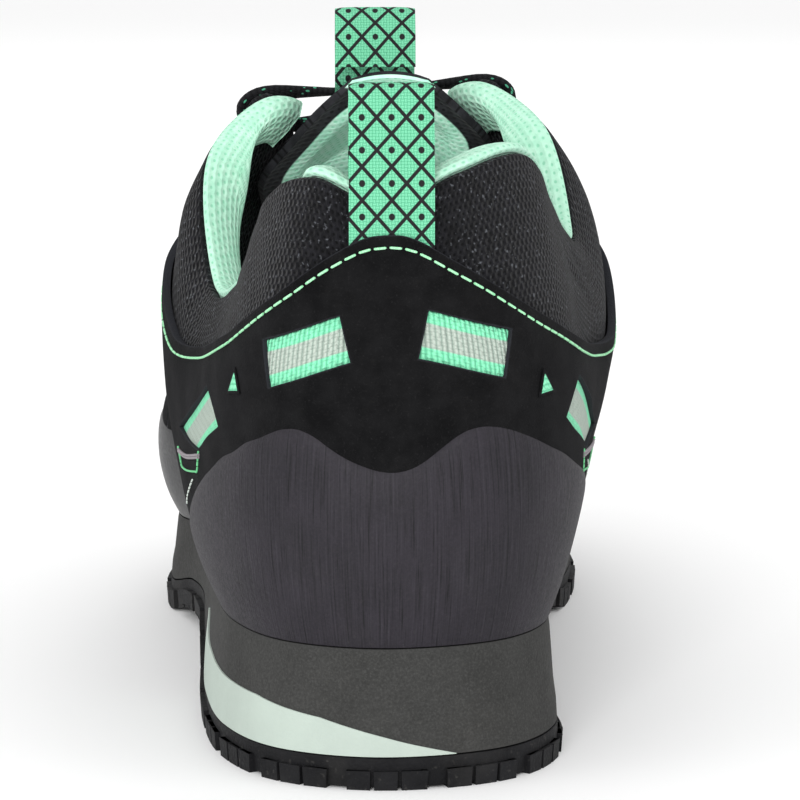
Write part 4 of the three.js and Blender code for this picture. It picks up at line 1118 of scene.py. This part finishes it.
def puffed(front, full, rim, reach):
    """The back of a padded sheet: thin at the rim, full a little way in."""
    edge = np.concatenate([front[0], front[-1], front[:, 0], front[:, -1]])
    inner = distance_to(front.reshape(-1, 3), edge).reshape(front.shape[:2])
    return rim + (full - rim) * smooth(inner / reach)


tongue_normal = grid_normals(fine)
tongue_normal *= np.sign(tongue_normal[..., 2:].mean())
depth = puffed(fine, TONGUE, 1.6, 7)
front_face = fine + tongue_normal * 0
back_face = fine - tongue_normal * depth[..., None]
if np.cross(fine[1, 0] - fine[0, 0], fine[0, 1] - fine[0, 0])[2] < 0:
    front_face, back_face = front_face[:, ::-1], back_face[:, ::-1]
tongue = slab("padded_tongue", front_face, back_face, tongue_finish())
finish_piece(tongue, ["tongue"])

# %% [markdown]
# ## Padded collar lining
# A thick mint pad lines the collar and rolls over its rim. It is a ring of cross-sections: down
# the wall, round the roll and back down the foot's side. Subdivision rounds the few points of
# each section into a soft pad.

# %% Collar lining
LINING_LOW, LINING_REACH, ROLL_REACH, PUFF = 0.48, 6.2, 6.15, 1.6
RIM_CLEARANCE = 1.6 * GAP


def lining_ring(s):
    hidden = smooth((s - 1.1) / 0.35) * smooth((3.1 - s) / 0.4)
    high = 1 - 0.032 * hidden
    low = mix(LINING_LOW, 0.92, smooth((abs(s) - 4.95) / 0.55))
    spaced = np.array([0, 0.19, 0.385, 0.58, 0.73, 0.87, 1.0])
    shares = mix(low, high, spaced)
    full = mix(LINING + 0.8, PAD + PUFF, smooth((5.7 - abs(s)) / 0.9))
    pad = mix(LINING, full, smooth(spaced / 0.58))
    against = -(WALL + GAP)
    outer = layer(s, shares, against)
    inner = layer(s, shares, against - pad)
    edge, out = surface(s, high), facing(s, high)
    up = unit(edge - surface(s, high - 0.03))

    def over_edge(across, rise):
        return edge + out * across + up * rise

    over = smooth((ROLL_REACH - abs(s)) / 0.4)
    outer[-1] = over_edge(against, RIM_CLEARANCE)
    end = against - full * 0.55
    over = over * (1 - hidden)
    roll = [over_edge(mix(ended, opened, over), rise) for opened, ended, rise in
            ((0.2, against - 0.1, RIM_CLEARANCE), (0.1, against - 0.4, PAD_ROLL * 0.8),
             (-WALL, against - 1, PAD_ROLL * 1.1), (end, end, PAD_ROLL))]
    return np.concatenate([outer, roll, [inner[-1] + up * 0.3], inner[:-1][::-1]])


lining_s = spread(-LINING_REACH, LINING_REACH, 70)
lining = loft("collar_pad", np.array([lining_ring(s) for s in lining_s]), lining_material, sharp=0, origin=9)
soften = lining.modifiers.new("roundness", "SUBSURF")
soften.levels = soften.render_levels = 2
finish_piece(lining, ["collar_lining"])

# %% Insole
wide = np.linspace(0, TOE_ROW, 90)[1:-1]
inset = FEATHER + WALL + 2 * GAP
left_edge, right_edge = outline_in(wide, inset), outline_in(ROUND - wide, inset)
shares = np.linspace(0, 1, 25)[None, :, None]
plan = left_edge[:, None, :] * (1 - shares) + right_edge[:, None, :] * shares
across = np.abs(np.linspace(-1, 1, 25))[None, :]
bed = sole_top(plan[..., 1]) + GAP
cup = 1.2 * across ** 4
insole_top = np.dstack([plan, bed + INSOLE - 0.8 + cup])
insole_under = np.dstack([plan, bed + 0.05])
insole = slab("insole_sheet", insole_top[:, ::-1], insole_under[:, ::-1], insole_material)
finish_piece(insole, ["insole"])

# %% [markdown]
# ## Pull loops
# Each loop is a length of printed webbing folded over at the top. The path is a few points seen
# from the side, drawn through by a smooth curve, and swept to the webbing's width.

# %% Pull loops


def band(name, path, across, width, thickness, material, flare=0.0):
    points = refine(np.array(path, float), 8, 0)
    tangent = unit(np.gradient(points, axis=0))
    out = np.stack([tangent[:, 1], -tangent[:, 0]], 1)
    middle = points.mean(0)
    out *= np.sign(((points - middle) * out).sum(1).mean())
    xs = np.linspace(-width / 2, width / 2, 13)
    sag = 1 - (np.abs(xs) / (width / 2)) ** 6
    front = np.array([[(across + x, p[0] + o[0] * thickness * (0.75 + 0.25 * k), p[1] + o[1] * thickness * (0.75 + 0.25 * k))
                       for x, k in zip(xs, sag)] for p, o in zip(points, out)])
    back = np.array([[(across + x, p[0] + o[0] * thickness * 0.25 * (1 - k), p[1] + o[1] * thickness * 0.25 * (1 - k))
                      for x, k in zip(xs, sag)] for p, o in zip(points, out)])
    normal = np.cross(front[1, 0] - front[0, 0], front[0, 1] - front[0, 0])
    if normal @ np.array([0, out[0, 0], out[0, 1]]) < 0:
        front, back = front[:, ::-1], back[:, ::-1]
    return slab(name, front, back, material)


heel_low = SUEDE_HEEL + GAP + 0.5
outer_leg = surface(0, share_at_height(0.0, heel_low))[1] - GAP
heel_low -= 3.5
pad_face = -(WALL + PAD + 3 * GAP)
inner_leg = max(layer(s, t, pad_face)[1] for s in (-0.6, 0, 0.6) for t in (0.85, 0.93, 1)) + 6 * GAP
loop_top, rim_top, thick = 132.2, COLLAR + PAD_ROLL, 1.3
centre = mix(outer_leg, inner_leg, 0.42)
heel_path = [
    (outer_leg, heel_low), (outer_leg, rim_top + 2), (centre - 2.8, loop_top - 7), (centre - 1.4, loop_top - 1.96),
    (centre, loop_top - thick), (centre + 1.4, loop_top - 1.96), (centre + 2.8, loop_top - 7),
    (inner_leg, rim_top + 2), (inner_leg + 0.6, rim_top - 8),
]
heel_loop = band("heel_pull", heel_path, 1, 15.9, thick, loop_material)
finish_piece(heel_loop, ["heel_loop"])

crest = tongue_grid[0][3]
rise = 12.7 - thick
tongue_path = [(crest[1] + f, crest[2] + u) for f, u in
               ((0.7, 0.7), (1.4, 6), (3.2, rise - 2), (5.4, rise), (7.6, rise - 2), (9.2, 6), (9.6, -2.6), (13, -6.1))]
tongue_loop = band("tongue_pull", tongue_path, -0.5, 16.5, thick, loop_material)
finish_piece(tongue_loop, ["tongue_loop"])

# %% [markdown]
# ## Sole
# The midsole is a block with the outline of the sole and a side that leans in. The pale wedge is
# let into its foot on the lateral side. Under both lies the outsole: a thin slab with a row of
# lugs round its edge, which follow the outline at equal steps, and pairs of lugs inside.

# %% Midsole
ring_s = np.linspace(0, ROUND, 261)[:-1]


def side_levels(levels, low, high):
    rings = []
    for share, inset_mm in levels:
        place = outline_in(ring_s, inset_mm)
        rings.append(np.column_stack([place, mix(low(place[:, 1]), high(place[:, 1]), share)]))
    return np.array(rings)


def block(name, rings, material, bevel=0.6, sharp=50):
    """Stacked outlines closed above and below by strips across."""
    count, round_ = rings.shape[:2]
    corners = grid_faces(count, round_, False)
    wrap = np.array([[[r, round_ - 1], [r, 0], [r + 1, 0], [r + 1, round_ - 1]] for r in range(count - 1)])
    faces = np.concatenate([(corners[..., 0] * round_ + corners[..., 1]), wrap[..., 0] * round_ + wrap[..., 1]])
    face_list = faces.tolist()
    half = round_ // 2
    for ring, turn in ((0, 1), (count - 1, -1)):
        start = ring * round_
        for i in range(half):
            quad = [start + i, start + (round_ - i) % round_, start + round_ - i - 1, start + i + 1]
            quad = list(dict.fromkeys(quad))
            face_list.append(quad[::turn])
    along = run_lengths(np.concatenate([rings, rings[:, :1]], 1), 1)[:, :-1]
    rise_mm = rings[..., 2]
    uv_point = np.dstack([along, rise_mm]).reshape(-1, 2)
    corner_uv = [uv_point[i] for face in face_list for i in face]
    flat = rings.reshape(-1, 3)
    top_edge = np.minimum(np.abs(np.arange(count) - 0), np.abs(np.arange(count) - (count - 1)))
    height = np.abs(rings[..., 2] - rings[-1:, :, 2])
    floats = {"edge": np.minimum(height, np.abs(rings[..., 2] - rings[:1, :, 2])).reshape(-1)}
    obj = build(name, flat, face_list, material, corner_uv, floats, sharp)
    bm = bmesh.new()
    bm.from_mesh(obj.data)
    bmesh.ops.recalc_face_normals(bm, faces=bm.faces)
    bm.to_mesh(obj.data)
    bm.free()
    if bevel:
        soft = obj.modifiers.new("soft edge", "BEVEL")
        soft.width, soft.segments = bevel * MM, 3
        soft.limit_method, soft.angle_limit = "ANGLE", math.radians(45)
    return obj


def midsole_floor(y):
    return tread_top(y) + GAP


MIDSOLE_SIDE = ((0, 0.5), (0.2, 0.75), (0.4, 1.3), (0.7, 1.75), (0.9, 2.05), (1, 2.3))


def midsole_inset(share):
    return np.interp(share, *np.array(MIDSOLE_SIDE).T)


midsole = block("foam_midsole", side_levels(MIDSOLE_SIDE, midsole_floor, sole_top), midsole_material)
finish_piece(midsole, ["midsole"])

# %% Pale wedge
WEDGE_LINE = np.array([(-0.55, 0.015), (0, 0.4), (0.6, 0.76), (1.4, 0.98), (2.4, 1), (4, 1)])
wedge_s = np.linspace(-0.55, 3.6, 120)
wedge_height = WEDGE_HEIGHT * np.interp(wedge_s, WEDGE_LINE[:, 0], WEDGE_LINE[:, 1])
levels = np.linspace(0, 1, 7)
wedge_rings = []
for s, height in zip(wedge_s, wedge_height):
    lean = 0.4 * smooth((s - 2.6) / 1.0)
    y = outline(s)[1]
    tall = sole_top(y) - midsole_floor(y)
    front = [np.append(p := outline_in(s + lean * k, midsole_inset(k * height / tall) - 0.3), midsole_floor(p[1]) + k * height)
             for k in levels]
    rear = [np.append(q := outline_in(s + lean * k, 4.0), midsole_floor(q[1]) + k * height) for k in levels[::-1]]
    wedge_rings.append(front + rear)
wedge = loft("pale_wedge", np.array(wedge_rings), wedge_material)
soft = wedge.modifiers.new("soft edge", "BEVEL")
soft.width, soft.segments = 0.35 * MM, 2
soft.limit_method, soft.angle_limit = "ANGLE", math.radians(45)
finish_piece(wedge, ["midsole_wedge"])

# %% Outsole: slab and lugs


def slab_floor(y):
    return tread_under(y) + LUG_DEPTH


def lug_points(corners, steps=3, lift=0.0):
    """A lug from four corners of its plan: a small block that follows the tread."""
    corners = np.array(corners, float)
    share = np.linspace(0, 1, steps + 1)
    edges = [corners[i] * (1 - share[:-1, None]) + corners[(i + 1) % 4] * share[:-1, None] for i in range(4)]
    rim = np.concatenate(edges)
    middle = rim.mean(0)
    rings = []
    for level, grow in ((1.0, 1.035), (0.3, 1.0), (0.0, 0.985)):
        place = middle + (rim - middle) * grow
        foot = np.maximum(0, tread_under(place[:, 1]) - SETTLED) + lift
        head = slab_floor(place[:, 1]) + LUG_ROOT
        rings.append(np.column_stack([place, mix(foot, head, level)]))
    return np.array(rings)


outer_run = run_lengths(outline(np.linspace(0, ROUND, 521)), 0)
lug_count = round(outer_run[-1] / (LUG_LENGTH + LUG_GAP))


def station_at(distance):
    return np.interp(distance % outer_run[-1], outer_run, np.linspace(0, ROUND, 521))


lug_plans = []
for i in range(lug_count):
    from_s = station_at((i - 0.5) * outer_run[-1] / lug_count + LUG_GAP / 2)
    to_s = station_at((i + 0.5) * outer_run[-1] / lug_count - LUG_GAP / 2)
    for start, end, lift in ((0, 1, 0.8), (0, 0.3, 0), (0.35, 0.65, 0), (0.7, 1, 0)):
        a, b = mix(from_s, to_s, start), mix(from_s, to_s, end)
        if to_s < from_s:
            a, b = (mix(from_s, to_s + ROUND, k) % ROUND for k in (start, end))
        lug_plans.append(([outline_in(a, -LUG_PROUD), outline_in(b, -LUG_PROUD), outline_in(b, LUG_REACH),
                           outline_in(a, LUG_REACH)], lift))
INNER_LUGS = ((0.1, 0, 0.1), (0.165, 0, 0.11), (0.23, 0, 0.1), (0.6, 0, 0.13), (0.665, 0, 0.14),
              (0.73, 0.01, 0.14), (0.8, 0.03, 0.13), (0.865, 0.05, 0.1))
for along, centre_x, spread_x in INNER_LUGS:
    for sign in (-1, 1):
        x, y = (centre_x + sign * spread_x) * BALL_WIDTH, along * SOLE_LENGTH
        half, wide_half = LUG_LENGTH / 2, LUG_LENGTH / 2 * 1.1
        plan_corners = [(x - wide_half, y - half), (x + wide_half, y - half), (x + wide_half, y + half), (x - wide_half, y + half)]
        lug_plans.append(([(px, py - abs(px - x) * 0.25) for px, py in plan_corners], 0))

outsole = block("rubber_tread", side_levels(((0, 4.0), (-1, 3.4), (-1, 0.7), (0, 0.4), (0.5, 0.4), (1, 0.4)), slab_floor, tread_top), outsole_material, bevel=0)
bm = bmesh.new()
bm.from_mesh(outsole.data)
for plan_corners, lift in lug_plans:
    rings = lug_points(plan_corners, 3, lift)
    round_ = rings.shape[1]
    verts = [[bm.verts.new((p + SHIFT) * MM) for p in ring] for ring in rings]
    new_faces = []
    for upper_ring, lower_ring in zip(verts[:-1], verts[1:]):
        for i in range(round_):
            j = (i + 1) % round_
            new_faces.append(bm.faces.new([upper_ring[i], upper_ring[j], lower_ring[j], lower_ring[i]]))
    new_faces += [bm.faces.new(verts[0]), bm.faces.new(verts[-1])]
    bmesh.ops.recalc_face_normals(bm, faces=new_faces)
edge_layer = bm.verts.layers.float.get("edge")
for vert in bm.verts:
    vert[edge_layer] = 5.0
bm.to_mesh(outsole.data)
bm.free()
outsole.data.polygons.foreach_set("use_smooth", [True] * len(outsole.data.polygons))
outsole.data.set_sharp_from_angle(angle=math.radians(35))
soft = outsole.modifiers.new("soft edge", "BEVEL")
soft.width, soft.segments = 0.45 * MM, 2
soft.limit_method, soft.angle_limit = "ANGLE", math.radians(40)
finish_piece(outsole, ["outsole"])
print("lugs", len(lug_plans))

# %% [markdown]
# ## Eyelets and lace
# Six pairs of eyelets stand in the eyestay. The lace comes up through one eyelet, crosses the
# tongue and dips under the other side. A flat cord keeps its width square to the wall, so each
# run is swept with the surface's own upward direction.

# %% Eyelets
PAIRS, BORE, BARREL, FLANGE, FLANGE_HEIGHT = 6, 3.8, 5, 8.2, 0.9
COVER = GAP + SUEDE
FLANGE_FOOT = COVER + 3 * GAP


def eyelet_station(index):
    return mix(TOP_CORNER + 0.35, THROAT_END - 0.1, index / (PAIRS - 1))


eyelets = {}
for index in range(PAIRS):
    for side_name, s in (("lateral", eyelet_station(index)), ("medial", ROUND - eyelet_station(index))):
        t = share_below_edge(s, EYESTAY_WIDTH / 2)[0]
        eyelets[side_name, index] = (surface(s, t), facing(s, t))

EYELET_PROFILE = ((BORE / 2, 0.4), (BORE / 2, FLANGE_FOOT + 0.7), (BORE / 2 + 0.35, FLANGE_FOOT + FLANGE_HEIGHT),
                  (BARREL / 2 + 0.4, FLANGE_FOOT + FLANGE_HEIGHT), (FLANGE / 2 - 0.35, FLANGE_FOOT + 0.45),
                  (FLANGE / 2, FLANGE_FOOT - 0.35), (FLANGE / 2 - 0.3, COVER + 0.1), (BARREL / 2, COVER - 0.2), (BARREL / 2, 0.4))
ring_points, ring_faces = [], []
turns = np.linspace(0, 2 * math.pi, 25)[:-1]
for place, normal in eyelets.values():
    side_a = unit(np.cross(normal, (0, 1, 0)))
    side_b = np.cross(normal, side_a)
    start = len(ring_points)
    for turn in turns:
        for radius, rise_mm in EYELET_PROFILE:
            ring_points.append(place + normal * rise_mm + radius * (side_a * math.cos(turn) + side_b * math.sin(turn)))
    steps = len(EYELET_PROFILE)
    for i in range(len(turns)):
        for j in range(steps):
            a, b = i * steps + j, i * steps + (j + 1) % steps
            c, d = ((i + 1) % len(turns)) * steps + (j + 1) % steps, ((i + 1) % len(turns)) * steps + j
            ring_faces.append([start + k for k in (a, b, c, d)])
eyelet_rings = build("eyelet_rings", np.array(ring_points), ring_faces, eyelet_material)
bm = bmesh.new()
bm.from_mesh(eyelet_rings.data)
bmesh.ops.recalc_face_normals(bm, faces=bm.faces)
bm.to_mesh(eyelet_rings.data)
bm.free()
finish_piece(eyelet_rings, [f"eyelet_{side}_{index + 1}" for side, index in eyelets])

# %% Lace
LACE_WIDTH, LACE_THICK = 5, 1.7
OVER_RING = FLANGE_FOOT + FLANGE_HEIGHT + 4.5 * GAP + LACE_THICK / 2
OVER_EDGE = COVER + 9 * GAP + LACE_THICK / 2


def mirrored(side_name, s):
    return s if side_name == "lateral" else ROUND - s


def lace_ring(place, along, up, width, thick, count=12):
    across = unit(np.cross(along, up))
    up = unit(np.cross(across, along))
    turn = np.linspace(0, 2 * math.pi, count + 1)[:-1]
    c, s = np.cos(turn), np.sin(turn)
    flat_c, flat_s = np.sign(c) * np.abs(c) ** 0.6, np.sign(s) * np.abs(s) ** 0.8
    return place + np.outer(flat_c, across) * width / 2 + np.outer(flat_s, up) * thick / 2


def lace_run(points, ups, widths, steps=8):
    path, up = refine(np.array(points, float), steps, 0), unit(refine(np.array(ups, float), steps, 0))
    width = refine(np.array(widths, float)[:, None], steps, 0)[:, 0]
    along = unit(np.gradient(path, axis=0))
    return np.array([lace_ring(p, a, u, w, LACE_THICK) for p, a, u, w in zip(path, along, up, width)])


def eyelet_start(side_name, index, ahead):
    """Up through the ring and over its lip, towards the next point."""
    place, normal = eyelets[side_name, index]
    lean = unit(ahead - place)
    points = [place + normal * 0.8, place + normal * (FLANGE_FOOT + 0.6) + lean * 0.2,
              place + normal * OVER_RING + lean * 2.2]
    return points, [-lean, unit(normal - lean), normal], [3.0, 3.2, 4.6]


lace_parts = []
for index in range(1, PAIRS):
    for side_name, other in (("lateral", "medial"), ("medial", "lateral")):
        low_s, high_s = eyelet_station(index), eyelet_station(index - 1)
        edge_s = mirrored(side_name, mix(low_s, high_s, 0.22))
        centre_s = mix(low_s, high_s, 0.5)
        end_s = mirrored(other, mix(low_s, high_s, 0.8))
        edge_point = layer(edge_s, 1.0, OVER_EDGE)
        middle = (layer(centre_s, 1.0, 0) + layer(ROUND - centre_s, 1.0, 0)) / 2
        far_edge = layer(end_s, 1.0, -TONGUE_OFF)
        end_point = far_edge + (middle - far_edge) * 0.3
        middle = middle + np.array([0, 0, 3 * GAP + 2.2 * (1.5 if side_name == "lateral" else 1.15)])
        end_point = end_point + np.array([0, 0, GAP + 1.9])
        tuck = layer(end_s, 1.0, -TONGUE_OFF + 0.6)
        starts, start_ups, start_widths = eyelet_start(side_name, index, edge_point)
        rise_up = np.array([0, 0, 1.0])
        lace_parts.append(lace_run(
            starts + [edge_point, middle, end_point, tuck],
            start_ups + [facing(edge_s, 1.0), rise_up, rise_up, facing(end_s, 1.0)],
            start_widths + [5, 5, 4.8, 4.4]))
top_s = eyelet_station(0)
top_edges = [layer(top_s, 1.0, OVER_EDGE), layer(ROUND - top_s, 1.0, OVER_EDGE)]
left_start = eyelet_start("lateral", 0, top_edges[0])
right_start = eyelet_start("medial", 0, top_edges[1])
top_middle = (top_edges[0] + top_edges[1]) / 2 + np.array([0, 0, -0.6])
lace_parts.append(lace_run(
    left_start[0] + [top_edges[0], top_middle, top_edges[1]] + right_start[0][::-1],
    left_start[1] + [facing(top_s, 1.0), np.array([0, 0, 1.0]), facing(ROUND - top_s, 1.0)] + [u * np.array([1, 1, 1]) for u in right_start[1][::-1]],
    left_start[2] + [5, 5, 5] + right_start[2][::-1]))

lace_points, lace_faces, lace_uv = [], [], []
for rings in lace_parts:
    count, round_ = rings.shape[:2]
    start = sum(len(p) for p in lace_points)
    lace_points.append(rings.reshape(-1, 3))
    lengths = run_lengths(rings.mean(1)[:, None, :], 0)[:, 0]
    around_mm = np.linspace(0, 13, round_ + 1)
    for i in range(count - 1):
        for j in range(round_):
            k = (j + 1) % round_
            lace_faces.append([start + i * round_ + j, start + i * round_ + k, start + (i + 1) * round_ + k, start + (i + 1) * round_ + j])
            lace_uv += [(around_mm[j], lengths[i]), (around_mm[j + 1], lengths[i]), (around_mm[j + 1], lengths[i + 1]), (around_mm[j], lengths[i + 1])]
    for ring in (0, count - 1):
        order = list(range(round_))
        lace_faces.append([start + ring * round_ + j for j in (order if ring else order[::-1])])
        lace_uv += [(around_mm[j], lengths[ring]) for j in order]
lace = build("flat_lace", np.concatenate(lace_points), lace_faces, lace_material, lace_uv, sharp=70)
bm = bmesh.new()
bm.from_mesh(lace.data)
bmesh.ops.recalc_face_normals(bm, faces=bm.faces)
bm.to_mesh(lace.data)
bm.free()
finish_piece(lace, [f"lace_crossing_{i}" for i in range(1, PAIRS)] + ["lace_top"])

# %% [markdown]
# ## Stitches
# A stitch is one small capsule repeated along a seam. Geometry Nodes sets them out: the seam is
# resampled at the stitch's pitch and each point carries a copy, so the row stays editable until
# it is turned into a mesh. Seams are drawn on the wall by station and share, as all layers are.

# %% Stitches by Geometry Nodes


def stitch_tree():
    tree = bpy.data.node_groups.new("stitch row", "GeometryNodeTree")
    sockets = {}
    for label, kind in (("Geometry", "NodeSocketGeometry"), ("Pitch", FLOAT), ("Length", FLOAT), ("Width", FLOAT),
                        ("Finish", "NodeSocketMaterial")):
        sockets[label] = tree.interface.new_socket(name=label, in_out="INPUT", socket_type=kind)
    tree.interface.new_socket(name="Geometry", in_out="OUTPUT", socket_type="NodeSocketGeometry")
    n = Nodes(tree)
    given = n.add("NodeGroupInput").outputs
    curve = n.add("GeometryNodeMeshToCurve", {"Mesh": given["Geometry"]})
    even = n.add("GeometryNodeResampleCurve", {"Curve": curve.outputs[0], "Length": given["Pitch"]}, mode="LENGTH")
    points = n.add("GeometryNodeCurveToPoints", {"Curve": even.outputs[0]}, mode="EVALUATED")
    core = n.add("GeometryNodeMeshCylinder", {"Vertices": 8, "Side Segments": 1, "Radius": 0.5, "Depth": 0.86})
    tips = n.add("GeometryNodeMeshCylinder", {"Vertices": 8, "Side Segments": 1, "Radius": 0.34, "Depth": 1.0})
    bead = n.add("GeometryNodeJoinGeometry")
    for part in (tips, core):
        tree.links.new(part.outputs["Mesh"], bead.inputs[0])
    size = n.add("ShaderNodeCombineXYZ", {0: given["Width"], 1: given["Width"], 2: given["Length"]})
    copies = n.add("GeometryNodeInstanceOnPoints", {"Points": points.outputs["Points"], "Instance": bead.outputs[0],
                                                     "Rotation": points.outputs["Rotation"], "Scale": size.outputs[0]})
    whole_row = n.add("GeometryNodeRealizeInstances", {"Geometry": copies.outputs[0]})
    finished = n.add("GeometryNodeSetMaterial", {"Geometry": whole_row.outputs[0], "Material": given["Finish"]})
    n.add("NodeGroupOutput", {"Geometry": finished.outputs[0]})
    return tree, {label: socket.identifier for label, socket in sockets.items()}


stitch_nodes, stitch_inputs = stitch_tree()


def stitches(name, seams, pitch, length, width, material):
    """Rows of stitches along seams, each a list of points in millimetres."""
    points, edges = [], []
    for seam in seams:
        start = len(points)
        points += [tuple((np.array(p) + SHIFT) * MM) for p in seam]
        edges += [(start + i, start + i + 1) for i in range(len(seam) - 1)]
    path = bpy.data.meshes.new(name + "_path")
    path.from_pydata(points, edges, [])
    obj = bpy.data.objects.new(name, path)
    bpy.context.scene.collection.objects.link(obj)
    row = obj.modifiers.new("stitch row", "NODES")
    row.node_group = stitch_nodes
    for label, value in (("Pitch", pitch * MM), ("Length", length * MM), ("Width", width * MM), ("Finish", material)):
        row[stitch_inputs[label]] = value
    obj.update_tag()
    bpy.context.view_layer.update()
    graph = bpy.context.evaluated_depsgraph_get()
    mesh = bpy.data.meshes.new_from_object(obj.evaluated_get(graph), depsgraph=graph)
    obj.modifiers.clear()
    obj.data = mesh
    mesh.polygons.foreach_set("use_smooth", [True] * len(mesh.polygons))
    mesh.set_sharp_from_angle(angle=math.radians(60))
    if not mesh.materials:
        mesh.materials.append(material)
    finish_piece(obj)
    print(name, "triangles", len(mesh.polygons))
    return obj


def seam_points(s, t, offset):
    return [p for p in layer(np.array(s, float), np.array(t, float), offset)]


def rate(s, t):
    """Millimetres of wall for one unit of share."""
    return np.linalg.norm(surface(s, t) - surface(s, t - 0.02), axis=-1) / 0.02


# %% Stitch rows
SUEDE_FACE = GAP + SUEDE + 0.12
seam_s = np.linspace(-5.6, 5.6, 500)
top = suede_top(seam_s)
seam_t = top - 2.4 / rate(seam_s, top)
stitches("suede_top_stitching", [seam_points(seam_s, seam_t, SUEDE_FACE)], 2.9, 2.3, 0.5, mint_thread)

rows = []
for sign in (1, -1):
    front_s = np.linspace(2.66, 3.05, 14)
    rows.append(seam_points(sign * front_s, counter_top(sign * front_s) + 0.035, SUEDE_FACE))
stitches("counter_edge_stitching", rows, 2.2, 1.2, 0.38, pale_thread)

bars, boxes = [], []
for corners in (((2.44, 0.408), (2.47, 0.362), (3.14, 0.392), (3.32, 0.45)),
                ((-2.25, 0.36), (-2.3, 0.318), (-2.95, 0.33), (-3.2, 0.4))):
    (s0, t0), (s1, t1), (s2, t2), (s3, t3) = corners
    line = np.linspace(0, 1, 24)
    for drop in (0.004, 0.011):
        bars.append(seam_points(mix(s0, s3, line), mix(t0, t3, line) - drop, SUEDE_FACE))
    path_s = np.concatenate([mix(s0, s1, line), mix(s1, s2, line)[1:], mix(s2, s3, line)[1:]])
    path_t = np.concatenate([mix(t0, t1, line), mix(t1, t2, line)[1:], mix(t2, t3, line)[1:]])
    boxes.append(seam_points(path_s, path_t, SUEDE_FACE))
pink_thread = plain_finish("pale pink thread", rgb(116, 110, 114), rgb(156, 149, 154), 0.6, scale=4000)
green_thread = plain_finish("light green thread", rgb(92, 184, 124), rgb(130, 214, 156), 0.6, scale=4000)
stitches("bar_tacks", bars, 0.7, 0.95, 0.55, pink_thread)
stitches("tack_boxes", boxes, 1.1, 0.95, 0.42, green_thread)

# %% [markdown]
# ## Small slits between the windows
# Between its two windows a side, the strap dives through a slit in the suede. Only a small three-cornered glimpse of it
# shows, inside a dark fuzzy hole. Two thin triangles do it: a dark one, which is painted shade for the hole, and a
# smaller one of strap webbing on it.

# %% Slits


def triangle(name, corners, offset, material):
    corners = np.array(corners, float)
    fan = np.linspace(0, 1, 7)
    left = corners[0] * (1 - fan[:, None]) + corners[1] * fan[:, None]
    right = corners[0] * (1 - fan[:, None]) + corners[2] * fan[:, None]
    share = np.linspace(0, 1, 7)[None, :, None]
    grid = left[:, None] * (1 - share) + right[:, None] * share
    grid = np.concatenate([grid[:1] * 0.98 + grid[1:2] * 0.02, grid[1:]])
    return patch(name, grid[..., 0], grid[..., 1], offset, 0.3, material, bevel=0)


# A dark sheet on the suede: painted shade inside the slit.
slit_shade_material = plain_finish("shadowed slit", rgb(6, 6, 7), rgb(22, 22, 24), 0.95)
for word, corners in (("lateral", ((1.69, 0.6), (1.86, 0.515), (1.46, 0.513))),
                      ("medial", ((-1.47, 0.57), (-1.32, 0.49), (-1.66, 0.488)))):
    middle = np.mean(corners, 0)
    glimpse, corners = ([tuple(middle + (np.array(c) - middle) * k) for c in corners] for k in (0.46, 0.68))
    finish_piece(triangle(f"slit_{word}", corners, GAP + SUEDE + 0.06, slit_shade_material))
    finish_piece(triangle(f"glimpse_{word}", glimpse, GAP + SUEDE + 0.12, strap_material))

# %% Dark seams of the front
seams = []
for inset in (1.8, 3.6):
    s = np.linspace(6.0, ROUND - 6.0, 320)
    low = eyestay_low(s)
    seams.append(seam_points(s, low + inset / rate(s, low), SUEDE_FACE + 0.1))
for sign in (1, -1):
    for shift in (0.07, 0.16):
        t = np.linspace(0.42, 0.84, 60)
        seams.append(seam_points(np.full(60, sign * (7.7 - shift)), t, SUEDE_FACE))
stitches("front_stitching", seams, 2.6, 2.2, 0.5, dark_thread)
